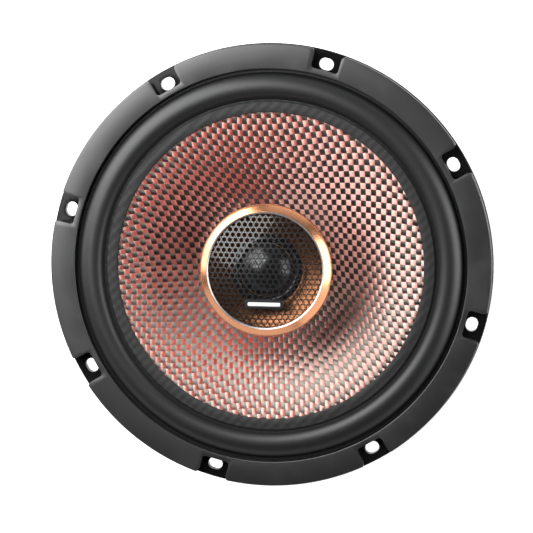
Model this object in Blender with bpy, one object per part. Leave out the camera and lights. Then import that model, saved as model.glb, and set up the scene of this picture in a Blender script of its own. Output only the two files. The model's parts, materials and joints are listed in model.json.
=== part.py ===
"""Coaxial car speaker: a 165 mm woofer with a dome tweeter on a post through its open throat.

The speaker stands on its magnet with its front up. The origin is at the bottom centre, +Z is the
axis of both drivers, and -Y is the side with the terminals. Lengths are in millimetres in this
file and become metres where a mesh is made.
"""

import math

import bmesh
import bpy
from mathutils import Matrix, Vector

MM = 0.001
GAP = 0.3  # bond line between neighbouring pieces

# Basket flange and gasket
FLANGE_R = 82.5
FLANGE_REAR_Z = 62.0
FLANGE_T = 3.0
FRONT_Z = FLANGE_REAR_Z + FLANGE_T
SCREW_CIRCLE_R = 77.5
SCREW_COUNT = 8
SCREW_FIRST_DEG = 30.0
SLOT_HALF_WIDTH = 2.2
SLOT_HALF_RUN = 0.5
GASKET_OUTER_R = 82.1
GASKET_INNER_R = 73.0
GASKET_TOP_Z = 69.0
POCKET_INNER_R = 75.0
POCKET_HALF_WIDTH = 5.2
POCKET_CORNER = 1.2

# Magnet system, from the back
BOOT_LIP_T = 1.2
BOOT_LIP_R = 31.0
BOOT_R = 47.5
YOKE_R = 43.0
YOKE_T = 5.5
MAGNET_INNER_R = 21.5
MAGNET_R = 45.0
MAGNET_T = 15.0
TOP_PLATE_R = 41.0
TOP_PLATE_T = 6.0
POLE_R = 15.5
GAP_OUTER_R = 18.3
YOKE_Z = BOOT_LIP_T + GAP
MAGNET_Z = YOKE_Z + YOKE_T + GAP
TOP_PLATE_Z = MAGNET_Z + MAGNET_T + GAP
MOTOR_TOP_Z = TOP_PLATE_Z + TOP_PLATE_T
BOOT_TOP_Z = TOP_PLATE_Z + 2.0
WIRE_GROOVE_TOP_Z = 4.0

# Basket behind the flange
SEAT_Z = MOTOR_TOP_Z + GAP
SEAT_T = 3.0
SEAT_INNER_R = 22.5
SEAT_R = 41.0
SHELF_Z = 38.0
SHELF_INNER_R = 45.5
SHELF_OUTER_R = 52.0
MOUTH_R = 66.0
WALL_TOP_R = 70.5
WALL_T = 2.4
LEG_COUNT = 6
LEG_HALF_DEG = 7.0
RIB_HALF_WIDTH = 1.3
WINDOW_Z0 = 40.5
WINDOW_Z1 = 58.5
SEAT_SCREW_R = 31.0
SEAT_SCREW_COUNT = 4
SEAT_SCREW_HOLE_R = 2.1

# Moving parts of the woofer
FORMER_INNER_R = 16.1
FORMER_T = 0.4
FORMER_Z0 = 18.6
FORMER_Z1 = 47.0
COIL_T = 0.9
COIL_Z0 = 19.6
COIL_Z1 = 31.6
CONE_T = 0.6
CONE_NECK_R = 16.9
CONE_NECK_Z = 44.0
CONE_RIM_R = 57.0
CONE_RIM_Z = 66.7
CONE_LAND_R = 61.4
CONE_NECK_SLOPE = 46.0
CONE_RIM_SLOPE = 12.0
SPIDER_T = 0.5
SPIDER_WAVE = 1.1
SPIDER_ROLLS = 5
SPIDER_CUFF_RISE = 1.4
SURROUND_T = 0.8
SURROUND_R = 74.9
ROLL_INNER_R = 62.6
ROLL_OUTER_R = 71.4
ROLL_HEIGHT = 3.7

# Tweeter
POST_R = 6.5
POST_FOOT_R = 10.0
POST_TOP_Z = 63.7
POST_BORE_R = 1.7
TAIL_R = 3.0
TAIL_END_Z = 3.9
RECESS_R = 9.5
RECESS_Z = 9.5
WASHER_R = 7.0
WASHER_T = 0.9
NUT_R = 5.6
NUT_T = 3.6
HOUSING_R = 23.3
HOUSING_Z0 = POST_TOP_Z + GAP
HOUSING_Z1 = 79.4
HOUSING_T = 1.3
POT_R = 13.2
POT_Z = HOUSING_Z0 + HOUSING_T + GAP
POT_TOP_Z = 76.4
POT_FLOOR_T = 2.4
POT_WALL_T = 1.8
TWEETER_MAGNET_R = 8.6
TWEETER_MAGNET_T = 3.6
TWEETER_PLATE_R = 9.2
TWEETER_PLATE_T = 2.9
HORN_INNER_R = 12.1
HORN_LEDGE_R = 13.1
HORN_MOUTH_R = 20.6
DOME_R = 10.0
DOME_Z = 78.0
DOME_RISE = 4.0
DOME_T = 0.3
DOME_FORMER_Z0 = 70.6
DOME_FORMER_T = 0.25
DOME_COIL_Z0 = 71.0
DOME_COIL_Z1 = 75.6
DOME_COIL_T = 0.45
DOME_ROLL_R = 11.35
DOME_ROLL_HALF = 0.85
DOME_LAND_R = 12.8
BEZEL_R = 24.3
BEZEL_LIP_R = 20.9
BEZEL_EDGE_Z = 80.6
BEZEL_TOP_Z = 83.0
GRILLE_R = 21.6
GRILLE_DOME_R = 20.5
GRILLE_RIM_Z = 82.0
GRILLE_RISE = 3.4
GRILLE_T = 0.5
GRILLE_BALL_R = (GRILLE_DOME_R**2 + GRILLE_RISE**2) / (2 * GRILLE_RISE)
BADGE_SIZE = (14.2, 3.0, 0.6)
BADGE_FROM_AXIS = 11.8

# Terminals and wiring, at -Y
BOARD_HALF_WIDTH = 14.5
BOARD_Z0 = 41.2
BOARD_Z1 = 55.2
BOARD_T = 1.6
BOSS_HALF_WIDTH = 8.0
BOSS_Y = -66.6
BOSS_Z0 = 42.4
BOSS_Z1 = 54.4
BOARD_FRONT_Y = BOSS_Y - GAP - BOARD_T
RIVET_HEIGHTS = (45.2, 51.4)
RIVET_HOLE_R = 1.6
RIVET_END_Y = BOSS_Y + 1.0
TAB_X = 10.4
TAB_T = 0.8
TAB_TIP_Z = 34.0
TAB_TOP_Z = 58.6
TAB_BACK_Y = BOARD_FRONT_Y - GAP
LEAD_R = 0.55
LEAD_X = 9.0
EYELET_R = 1.5
EYELET_T = 0.9
EYELET_RING_R = 28.5
WIRE_R = 0.6
WIRE_X = 0.78
CAPACITOR_R = 4.5
CAPACITOR_HALF_LENGTH = 9.0
CAPACITOR_Y = -52.0
CAPACITOR_Z = 30.2

# name: (base colour, roughness, metallic)
FINISHES = {
    "moulded_rubber": ((0.075, 0.075, 0.078), 0.62, 0.0),
    "surround_rubber": ((0.045, 0.046, 0.048), 0.45, 0.0),
    "boot_rubber": ((0.03, 0.03, 0.032), 0.55, 0.0),
    "black_paint": ((0.018, 0.018, 0.02), 0.3, 0.0),
    "zinc_steel": ((0.55, 0.56, 0.58), 0.35, 1.0),
    "ferrite": ((0.06, 0.06, 0.065), 0.6, 0.0),
    "neodymium": ((0.6, 0.6, 0.62), 0.3, 1.0),
    "woven_fibre": ((0.62, 0.28, 0.24), 0.4, 0.0),
    "copper_anodised": ((0.8, 0.42, 0.24), 0.22, 1.0),
    "black_mesh": ((0.03, 0.03, 0.032), 0.4, 0.6),
    "silk": ((0.03, 0.03, 0.034), 0.5, 0.0),
    "coil_wire": ((0.72, 0.32, 0.14), 0.35, 1.0),
    "coil_former": ((0.5, 0.34, 0.16), 0.4, 0.0),
    "spider_cloth": ((0.1, 0.09, 0.08), 0.85, 0.0),
    "phenolic": ((0.2, 0.1, 0.05), 0.55, 0.0),
    "tinned_brass": ((0.75, 0.72, 0.62), 0.3, 1.0),
    "cap_sleeve": ((0.06, 0.12, 0.3), 0.35, 0.0),
    "red_insulation": ((0.5, 0.04, 0.03), 0.45, 0.0),
    "black_insulation": ((0.02, 0.02, 0.02), 0.45, 0.0),
    "silver_braid": ((0.6, 0.6, 0.58), 0.4, 1.0),
    "black_plastic": ((0.03, 0.03, 0.032), 0.4, 0.0),
    "adhesive": ((0.75, 0.72, 0.62), 0.6, 0.0),
}


def finish(name):
    """The named material, made the first time that it is asked for."""
    made = bpy.data.materials.get(name)
    if made:
        return made
    colour, roughness, metallic = FINISHES[name]
    made = bpy.data.materials.new(name)
    made.use_nodes = True
    shader = made.node_tree.nodes["Principled BSDF"]
    shader.inputs["Base Color"].default_value = (*colour, 1.0)
    shader.inputs["Roughness"].default_value = roughness
    shader.inputs["Metallic"].default_value = metallic
    return made


# Shape helpers
def add_object(name, shape, finish_name):
    """Makes an object from a bmesh in millimetres, with its faces pointing out."""
    bmesh.ops.remove_doubles(shape, verts=shape.verts, dist=1e-4)
    bmesh.ops.recalc_face_normals(shape, faces=shape.faces)
    bmesh.ops.scale(shape, vec=(MM, MM, MM), verts=shape.verts)
    mesh = bpy.data.meshes.new(name)
    shape.to_mesh(mesh)
    shape.free()
    mesh.shade_smooth()
    mesh.set_sharp_from_angle(angle=math.radians(40))
    made = bpy.data.objects.new(name, mesh)
    bpy.context.scene.collection.objects.link(made)
    if finish_name:
        mesh.materials.append(finish(finish_name))
    return made


def turned(name, profile, finish_name, segments=40, place=None):
    """A turned piece: the (radius, height) profile spun round Z, then set in its place."""
    shape = bmesh.new()
    corners = [shape.verts.new((r, 0.0, z)) for r, z in profile]
    ends = list(zip(corners, corners[1:]))
    if profile[0][0] > 0 or profile[-1][0] > 0:
        ends.append((corners[-1], corners[0]))
    for here, there in ends:
        shape.edges.new((here, there))
    bmesh.ops.spin(
        shape,
        geom=shape.verts[:] + shape.edges[:],
        cent=(0, 0, 0),
        axis=(0, 0, 1),
        angle=math.tau,
        steps=segments,
        use_merge=True,
    )
    if place:
        bmesh.ops.transform(shape, matrix=place, verts=shape.verts)
    return add_object(name, shape, finish_name)


def prism(name, outline, depth, finish_name, place=None):
    """A closed outline of points, extruded by the depth vector and set in its place."""
    shape = bmesh.new()
    base = shape.faces.new([shape.verts.new(point) for point in outline])
    grown = bmesh.ops.extrude_face_region(shape, geom=[base])["geom"]
    moved = [item for item in grown if isinstance(item, bmesh.types.BMVert)]
    bmesh.ops.translate(shape, vec=depth, verts=moved)
    if place:
        bmesh.ops.transform(shape, matrix=place, verts=shape.verts)
    return add_object(name, shape, finish_name)


def block(name, low, high, finish_name, bevel=0.0):
    """A box from its low to its high corner, with its edges broken by the bevel."""
    shape = bmesh.new()
    size = Vector(high) - Vector(low)
    centre = (Vector(high) + Vector(low)) / 2
    place = Matrix.Translation(centre) @ Matrix.Diagonal((*size, 1))
    bmesh.ops.create_cube(shape, size=1, matrix=place)
    if bevel:
        bmesh.ops.bevel(shape, geom=shape.edges[:], offset=bevel, segments=1, affect="EDGES")
    return add_object(name, shape, finish_name)


def rod(name, start, end, radius, finish_name, segments=12):
    """A round rod between two points."""
    shape = bmesh.new()
    along = Vector(end) - Vector(start)
    turn = along.to_track_quat("Z", "Y").to_matrix().to_4x4()
    bmesh.ops.create_cone(
        shape,
        cap_ends=True,
        segments=segments,
        radius1=radius,
        radius2=radius,
        depth=along.length,
        matrix=Matrix.Translation((Vector(start) + Vector(end)) / 2) @ turn,
    )
    return add_object(name, shape, finish_name)


def wire(name, route, radius, finish_name):
    """A round wire on a smooth curve through the route's points."""
    curve = bpy.data.curves.new(name, "CURVE")
    curve.dimensions = "3D"
    curve.bevel_depth = radius * MM
    curve.bevel_resolution = 2
    curve.use_fill_caps = True
    places = bend_points(smooth_route(route))
    spline = curve.splines.new("POLY")
    spline.points.add(len(places) - 1)
    for point, place in zip(spline.points, places):
        point.co = (*(place * MM), 1.0)
    curve.materials.append(finish(finish_name))
    made = bpy.data.objects.new(name, curve)
    bpy.context.scene.collection.objects.link(made)
    return made


def smooth_route(route, steps=12):
    """Points along a smooth curve whose slope at each route point follows from its neighbours."""
    route = [Vector(p) for p in route]
    slopes = []
    for before, here, after in zip(route[:1] + route, route, route[1:] + route[-1:]):
        slopes.append((after - before) / ((here - before).length + (after - here).length))
    points = []
    for start, end, leave, arrive in zip(route, route[1:], slopes, slopes[1:]):
        reach = (end - start).length
        for i in range(steps):
            t = i / steps
            base = start + (end - start) * (3 * t**2 - 2 * t**3)
            lead = leave * (t - 2 * t**2 + t**3) + arrive * (t**3 - t**2)
            points.append(base + lead * reach)
    return points + [route[-1]]


def bend_points(points, most_turn_deg=16.0):
    """Keeps only the points that a wire needs to follow its bends."""
    kept = [points[0]]
    heading = points[1] - points[0]
    for here, there in zip(points[1:], points[2:]):
        if heading.angle(there - here) > math.radians(most_turn_deg):
            kept.append(here)
            heading = there - here
    return kept + [points[-1]]


def arc(centre, radius, start_deg, end_deg, steps):
    """(radius, height) points along an arc of a turned profile."""
    points = []
    for i in range(steps + 1):
        turn = math.radians(start_deg + (end_deg - start_deg) * i / steps)
        points.append((centre[0] + radius * math.cos(turn), centre[1] + radius * math.sin(turn)))
    return points


def polar(radius, degrees, height=0.0):
    turn = math.radians(degrees)
    return Vector((radius * math.cos(turn), radius * math.sin(turn), height))


def at_angle(degrees):
    return Matrix.Rotation(math.radians(degrees), 4, "Z")


def combine(target, others, operation):
    """Joins or cuts the target with helper shapes, which are then out of the object."""
    for other in others:
        step = target.modifiers.new(other.name, "BOOLEAN")
        step.operation = operation
        step.object = other
        other.hide_render = True
        other.display_type = "WIRE"
    return target


def screw_angles():
    return [SCREW_FIRST_DEG + 360 * i / SCREW_COUNT for i in range(SCREW_COUNT)]


# Magnet system
def make_boot():
    corner = 2.2
    inside = MAGNET_R + GAP
    boot = turned(
        "magnet_boot",
        [
            (BOOT_LIP_R, 0),
            *arc((BOOT_R - corner, corner), corner, -90, 0, 3),
            (BOOT_R, BOOT_TOP_Z - 1.2),
            (BOOT_R - 0.9, BOOT_TOP_Z),
            (inside, BOOT_TOP_Z),
            (inside, BOOT_LIP_T),
            (BOOT_LIP_R, BOOT_LIP_T),
        ],
        "boot_rubber",
    )
    outlet = block(
        "boot_outlet_cutter",
        (-1.8, -BOOT_R - 3, YOKE_Z + 0.1),
        (1.8, 3 - MAGNET_R, WIRE_GROOVE_TOP_Z),
        None,
    )
    combine(boot, [outlet], "DIFFERENCE")


def make_yoke():
    yoke = turned(
        "yoke",
        [
            (TAIL_R + GAP, MOTOR_TOP_Z),
            (TAIL_R + GAP, RECESS_Z),
            (RECESS_R, RECESS_Z),
            (RECESS_R, YOKE_Z),
            (YOKE_R - 1, YOKE_Z),
            (YOKE_R, YOKE_Z + 1),
            (YOKE_R, YOKE_Z + YOKE_T),
            (POLE_R, YOKE_Z + YOKE_T),
            (POLE_R, MOTOR_TOP_Z - 0.6),
            (POLE_R - 0.6, MOTOR_TOP_Z),
        ],
        "zinc_steel",
    )
    groove = block(
        "wire_groove_cutter",
        (-2.0, -YOKE_R - 3, 0),
        (2.0, 2 - RECESS_R, WIRE_GROOVE_TOP_Z),
        None,
    )
    combine(yoke, [groove], "DIFFERENCE")


def make_magnet_and_plate():
    edge = 0.8
    turned(
        "ferrite_magnet",
        [
            (MAGNET_INNER_R, MAGNET_Z),
            (MAGNET_R - edge, MAGNET_Z),
            (MAGNET_R, MAGNET_Z + edge),
            (MAGNET_R, MAGNET_Z + MAGNET_T - edge),
            (MAGNET_R - edge, MAGNET_Z + MAGNET_T),
            (MAGNET_INNER_R, MAGNET_Z + MAGNET_T),
        ],
        "ferrite",
    )
    plate = turned(
        "top_plate",
        [
            (GAP_OUTER_R, TOP_PLATE_Z),
            (TOP_PLATE_R, TOP_PLATE_Z),
            (TOP_PLATE_R, MOTOR_TOP_Z - edge),
            (TOP_PLATE_R - edge, MOTOR_TOP_Z),
            (GAP_OUTER_R, MOTOR_TOP_Z),
        ],
        "zinc_steel",
    )
    return plate


# Basket
def make_basket(top_plate):
    basket = turned(
        "basket",
        [
            (SEAT_INNER_R, SEAT_Z),
            (SEAT_R, SEAT_Z),
            (43.2, SEAT_Z + 1.6),
            (44.6, SHELF_Z - WALL_T),
            (SHELF_OUTER_R + 1.2, SHELF_Z - WALL_T),
            (WALL_TOP_R - 1.6, FLANGE_REAR_Z - 2.6),
            (WALL_TOP_R, FLANGE_REAR_Z),
            (FLANGE_R - 0.5, FLANGE_REAR_Z),
            (FLANGE_R, FLANGE_REAR_Z + 0.5),
            (FLANGE_R, FRONT_Z - 0.5),
            (FLANGE_R - 0.5, FRONT_Z),
            (MOUTH_R, FRONT_Z),
            (MOUTH_R, FLANGE_REAR_Z + 0.4),
            (SHELF_OUTER_R, SHELF_Z),
            (SHELF_INNER_R, SHELF_Z),
            (SHELF_INNER_R - 1.4, SHELF_Z - 0.6),
            (SEAT_R + 0.6, SEAT_Z + SEAT_T),
            (SEAT_INNER_R, SEAT_Z + SEAT_T),
        ],
        "black_paint",
        segments=48,
    )
    boss = block(
        "terminal_boss",
        (-BOSS_HALF_WIDTH, BOSS_Y, BOSS_Z0),
        (BOSS_HALF_WIDTH, 2 - SHELF_OUTER_R, BOSS_Z1),
        None,
    )
    # The first leg carries the terminal boss in place of a rib.
    ribs = [leg_rib(i) for i in range(1, LEG_COUNT)]
    combine(basket, [boss, *ribs], "UNION")
    windows = [window_cutter(i) for i in range(LEG_COUNT)]
    slots = [screw_slot_cutter(i, angle) for i, angle in enumerate(screw_angles())]
    combine(basket, [inner_clearance(), *windows, *slots], "DIFFERENCE")
    for i in range(SEAT_SCREW_COUNT):
        basket_screw(i + 1, polar(SEAT_SCREW_R, 45 + 360 * i / SEAT_SCREW_COUNT), basket, top_plate)
    return basket


def leg_angle(index):
    return -90 + 360 * index / LEG_COUNT


def leg_rib(index):
    """A stiffening rib down the back of a leg, from the flange to the shelf."""
    side = [
        (SHELF_OUTER_R - 2.5, SHELF_Z - 2.0),
        (SHELF_OUTER_R + 3.5, SHELF_Z - 3.3),
        (WALL_TOP_R, FLANGE_REAR_Z - 4.5),
        (WALL_TOP_R, FLANGE_REAR_Z + 0.6),
        (MOUTH_R + 0.6, FLANGE_REAR_Z + 0.6),
    ]
    outline = [(r, -RIB_HALF_WIDTH, z) for r, z in side]
    depth = (0, 2 * RIB_HALF_WIDTH, 0)
    return prism(f"leg_rib_{index}", outline, depth, None, at_angle(leg_angle(index)))


def window_cutter(index):
    """A wedge of a ring that opens the basket between two legs."""
    middle = leg_angle(index + 0.5)
    half = 180 / LEG_COUNT - LEG_HALF_DEG
    sweep = [middle + half * share for share in (-1, -0.5, 0, 0.5, 1)]
    outer = [polar(FLANGE_R + 6, a, WINDOW_Z0) for a in sweep]
    inner = [polar(SHELF_OUTER_R - 3, a, WINDOW_Z0) for a in reversed(sweep)]
    return prism(f"window_cutter_{index}", outer + inner, (0, 0, WINDOW_Z1 - WINDOW_Z0), None)


def inner_clearance():
    """Trims what the boss and the ribs leave inside the basket's wall."""
    axis_side = 30.0
    return turned(
        "inner_clearance_cutter",
        [
            (axis_side, SHELF_Z + 0.02),
            (SHELF_OUTER_R, SHELF_Z + 0.02),
            (MOUTH_R - 0.02, FLANGE_REAR_Z + 0.4),
            (MOUTH_R - 0.02, FRONT_Z + 3),
            (axis_side, FRONT_Z + 3),
        ],
        None,
        segments=48,
    )


def screw_slot_cutter(index, angle):
    """A short slot along the screw circle, through the flange."""
    outline = []
    for end in (1, -1):
        for i in range(7):
            turn = math.radians(-90 + 30 * i)
            along = end * (SLOT_HALF_RUN + SLOT_HALF_WIDTH * math.cos(turn))
            across = end * SLOT_HALF_WIDTH * math.sin(turn)
            outline.append((SCREW_CIRCLE_R - across, along, FLANGE_REAR_Z - 2))
    return prism(f"slot_cutter_{index}", outline, (0, 0, FLANGE_T + 4), None, at_angle(angle))


def basket_screw(number, centre, basket, top_plate):
    """A pan-head screw that holds the basket's seat to the top plate."""
    head_z = SEAT_Z + SEAT_T + GAP
    tip_z = MOTOR_TOP_Z - 3.8
    turned(
        f"basket_screw_{number}",
        [
            (0.0, head_z + 2.0),
            (2.4, head_z + 1.8),
            (3.3, head_z + 0.9),
            (3.3, head_z),
            (1.7, head_z),
            (1.7, tip_z + 0.5),
            (1.2, tip_z),
            (0.0, tip_z),
        ],
        "zinc_steel",
        segments=12,
        place=Matrix.Translation(centre),
    )
    up = Vector((0, 0, 1))
    through = (centre + up * (SEAT_Z - 1), centre + up * (head_z + 1))
    blind = (centre + up * (tip_z - 0.5), centre + up * (MOTOR_TOP_Z + 1))
    combine(basket, [rod(f"seat_hole_{number}", *through, SEAT_SCREW_HOLE_R, None)], "DIFFERENCE")
    combine(top_plate, [rod(f"plate_hole_{number}", *blind, SEAT_SCREW_HOLE_R, None)], "DIFFERENCE")


def make_gasket():
    over_surround = FRONT_Z + GAP + SURROUND_T + GAP
    step_r = POCKET_INNER_R + 0.3
    gasket = turned(
        "gasket",
        [
            (GASKET_INNER_R, over_surround),
            (step_r, over_surround),
            (step_r, FRONT_Z + GAP),
            (GASKET_OUTER_R, FRONT_Z + GAP),
            (GASKET_OUTER_R, GASKET_TOP_Z - 0.6),
            (GASKET_OUTER_R - 0.6, GASKET_TOP_Z),
            (GASKET_INNER_R + 0.5, GASKET_TOP_Z),
            (GASKET_INNER_R, GASKET_TOP_Z - 0.5),
        ],
        "moulded_rubber",
        segments=48,
    )
    side = POCKET_HALF_WIDTH
    corner = POCKET_CORNER
    plan = [
        (POCKET_INNER_R, side - corner),
        (POCKET_INNER_R, corner - side),
        (POCKET_INNER_R + corner, -side),
        (GASKET_OUTER_R + 4, -side),
        (GASKET_OUTER_R + 4, side),
        (POCKET_INNER_R + corner, side),
    ]
    outline = [(x, y, FRONT_Z - 1) for x, y in plan]
    depth = (0, 0, GASKET_TOP_Z - FRONT_Z + 2)
    cutters = []
    for i, angle in enumerate(screw_angles()):
        cutters.append(prism(f"pocket_cutter_{i}", outline, depth, None, at_angle(angle)))
    combine(gasket, cutters, "DIFFERENCE")


# Moving parts of the woofer
def cone_curve(steps, depth=0.0):
    """The cone's arc from its neck to its rim, moved back by depth along its normal."""
    steep, flat = math.radians(CONE_NECK_SLOPE), math.radians(CONE_RIM_SLOPE)
    bend = (CONE_RIM_Z - CONE_NECK_Z) / (math.cos(flat) - math.cos(steep))
    reach = bend * (math.sin(steep) - math.sin(flat))
    stretch = (CONE_RIM_R - CONE_NECK_R) / reach
    points = []
    for i in range(steps + 1):
        slope = steep + (flat - steep) * i / steps
        r = CONE_NECK_R + stretch * bend * (math.sin(steep) - math.sin(slope))
        z = CONE_NECK_Z + bend * (math.cos(slope) - math.cos(steep))
        points.append((r + depth * math.sin(slope), z - depth * math.cos(slope)))
    return points


def make_cone():
    front = cone_curve(6)
    back = cone_curve(6, CONE_T)
    rim = [(CONE_LAND_R, CONE_RIM_Z), (CONE_LAND_R, CONE_RIM_Z - CONE_T)]
    turned("cone", front + rim + back[::-1], "woven_fibre")


def make_surround():
    """A half roll between a land on the cone's rim and a land under the gasket."""
    inner_z = CONE_RIM_Z + GAP
    outer_z = FRONT_Z + GAP
    middle = (ROLL_INNER_R + ROLL_OUTER_R) / 2
    half = (ROLL_OUTER_R - ROLL_INNER_R) / 2
    skin = SURROUND_T / 2

    def roll(grow, foot_deg, steps=6):
        points = []
        for i in range(steps + 1):
            turn = math.radians(180 - foot_deg - (180 - 2 * foot_deg) * i / steps)
            foot = inner_z + skin + (outer_z - inner_z) * i / steps
            rise = (ROLL_HEIGHT + grow) * math.sin(turn)
            points.append((middle + (half + grow) * math.cos(turn), foot + rise))
        return points

    under = [(CONE_RIM_R, inner_z), (ROLL_INNER_R, inner_z)]
    under += roll(-skin, 0)
    under += [(ROLL_OUTER_R, outer_z), (SURROUND_R, outer_z)]
    over = [(CONE_RIM_R, inner_z + SURROUND_T)]
    over += roll(skin, 6)
    over += [(SURROUND_R, outer_z + SURROUND_T)]
    turned("surround", under + over[::-1], "surround_rubber")


def make_voice_coil():
    outer = FORMER_INNER_R + FORMER_T
    wound = outer + 0.1
    turned("voice_coil_former", sleeve(FORMER_INNER_R, outer, FORMER_Z0, FORMER_Z1), "coil_former", 40)
    turned("voice_coil", sleeve(wound, wound + COIL_T, COIL_Z0, COIL_Z1), "coil_wire", 40)


def sleeve(inner, outer, z0, z1):
    """The profile of a plain tube."""
    return [(inner, z0), (outer, z0), (outer, z1), (inner, z1)]


def make_spider():
    """Corrugated cloth from the former out to the basket's shelf."""
    cuff_r = FORMER_INNER_R + FORMER_T + GAP
    first = cuff_r + 1.2
    base = SHELF_Z + GAP
    line = [(cuff_r, base + SPIDER_CUFF_RISE), (first, base + SPIDER_CUFF_RISE)]
    steps = 2 * SPIDER_ROLLS
    for i in range(steps):
        share = (i + 0.5) / steps
        wave = SPIDER_WAVE if i % 2 == 0 else -SPIDER_WAVE
        height = base + SPIDER_CUFF_RISE * (1 - share) + wave
        line.append((first + (SHELF_INNER_R - first) * share, max(height, base - 0.5)))
    line += [(SHELF_INNER_R + 0.4, base), (SHELF_OUTER_R - 0.6, base)]
    top = [(r, z + SPIDER_T) for r, z in line]
    turned("spider", line + top[::-1], "spider_cloth", 32)


# Tweeter
def make_post():
    foot_z = MOTOR_TOP_Z + GAP
    turned(
        "tweeter_post",
        [
            (POST_BORE_R, TAIL_END_Z),
            (TAIL_R, TAIL_END_Z),
            (TAIL_R, foot_z),
            (POST_FOOT_R, foot_z),
            (POST_FOOT_R, foot_z + 2.0),
            (POST_R + 1.2, foot_z + 3.4),
            (POST_R, foot_z + 6.0),
            (POST_R, POST_TOP_Z),
            (POST_BORE_R, POST_TOP_Z),
        ],
        "zinc_steel",
        24,
    )
    washer_z = RECESS_Z - GAP - WASHER_T
    turned("post_washer", sleeve(TAIL_R + GAP, WASHER_R, washer_z, washer_z + WASHER_T), "zinc_steel", 24)
    nut_z = washer_z - GAP - NUT_T
    outline = [polar(NUT_R, 60 * i, nut_z) for i in range(6)]
    nut = prism("post_nut", outline, (0, 0, NUT_T), "zinc_steel")
    bore = rod("nut_bore_cutter", (0, 0, 0), (0, 0, RECESS_Z), TAIL_R + 0.15, None, 24)
    combine(nut, [bore], "DIFFERENCE")


def make_housing():
    floor_r = 17.6
    knee_z = HOUSING_Z0 + 4.6
    bore = POST_BORE_R + 0.2
    turned(
        "tweeter_housing",
        [
            (bore, HOUSING_Z0),
            (floor_r, HOUSING_Z0),
            (HOUSING_R - 1.0, knee_z),
            (HOUSING_R, knee_z + 2.4),
            (HOUSING_R, HOUSING_Z1),
            (HOUSING_R - HOUSING_T, HOUSING_Z1),
            (HOUSING_R - HOUSING_T, knee_z + 2.8),
            (floor_r - 0.6, HOUSING_Z0 + HOUSING_T),
            (bore, HOUSING_Z0 + HOUSING_T),
        ],
        "black_plastic",
        40,
    )


def make_tweeter_motor():
    pot = turned(
        "tweeter_yoke",
        [
            (0.0, POT_Z),
            (POT_R - 0.5, POT_Z),
            (POT_R, POT_Z + 0.5),
            (POT_R, POT_TOP_Z),
            (POT_R - POT_WALL_T, POT_TOP_Z),
            (POT_R - POT_WALL_T, POT_Z + POT_FLOOR_T),
            (0.0, POT_Z + POT_FLOOR_T),
        ],
        "zinc_steel",
        36,
    )
    channel = block("pot_channel_cutter", (-2, -POT_R - 4, POT_Z - 1), (2, 1, POT_Z + 1.8), None)
    notch = block(
        "pot_notch_cutter",
        (-2, -POT_R - 4, POT_Z - 2),
        (2, 1.45 - POT_R, POT_TOP_Z + 1),
        None,
    )
    combine(pot, [channel, notch], "DIFFERENCE")
    magnet_z = POT_Z + POT_FLOOR_T + GAP
    plate_z = magnet_z + TWEETER_MAGNET_T + GAP
    turned("tweeter_magnet", disc(TWEETER_MAGNET_R, magnet_z, TWEETER_MAGNET_T), "neodymium", 28)
    turned("tweeter_top_plate", disc(TWEETER_PLATE_R, plate_z, TWEETER_PLATE_T), "zinc_steel", 28)


def disc(radius, z, thickness):
    """The profile of a disc with a broken upper edge."""
    top = z + thickness
    return [(0.0, z), (radius, z), (radius, top - 0.4), (radius - 0.4, top), (0.0, top)]


def make_horn():
    outside = HOUSING_R - HOUSING_T - GAP
    ledge_z = DOME_Z - 0.6
    turned(
        "tweeter_horn",
        [
            (HORN_INNER_R, POT_TOP_Z + GAP),
            (outside, POT_TOP_Z + GAP),
            (outside, 80.3),
            (HORN_MOUTH_R, 80.0),
            (17.6, 79.0),
            (15.2, 78.5),
            (HORN_LEDGE_R, 78.3),
            (HORN_LEDGE_R, ledge_z),
            (HORN_INNER_R, ledge_z),
        ],
        "copper_anodised",
    )


def make_tweeter_front():
    rim_r = GRILLE_R + 0.2
    seat_z = HOUSING_Z1 + GAP
    turned(
        "tweeter_bezel",
        [
            (rim_r, seat_z),
            (BEZEL_R - 0.6, seat_z),
            (BEZEL_R, seat_z + 0.5),
            (BEZEL_R, BEZEL_EDGE_Z),
            (BEZEL_R - 0.6, BEZEL_EDGE_Z + 0.9),
            (BEZEL_LIP_R + 0.7, BEZEL_TOP_Z),
            (BEZEL_LIP_R, BEZEL_TOP_Z - 0.25),
            (BEZEL_LIP_R, GRILLE_RIM_Z + GAP),
            (rim_r, GRILLE_RIM_Z + GAP),
        ],
        "copper_anodised",
    )
    under = dome_curve(GRILLE_DOME_R, GRILLE_RIM_Z - GRILLE_T, GRILLE_RISE, 5)
    over = [(r, z + GRILLE_T) for r, z in under]
    rim = [(GRILLE_R, GRILLE_RIM_Z), (GRILLE_R, GRILLE_RIM_Z - GRILLE_T)]
    turned("tweeter_grille", over + rim + under[::-1], "black_mesh", 40)


def dome_curve(edge_r, edge_z, rise, steps):
    """A shallow ball cap from its crown to its edge."""
    ball = (edge_r**2 + rise**2) / (2 * rise)
    reach = math.asin(edge_r / ball)
    points = []
    for i in range(steps + 1):
        turn = reach * i / steps
        points.append((ball * math.sin(turn), edge_z + rise - ball * (1 - math.cos(turn))))
    return points


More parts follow.
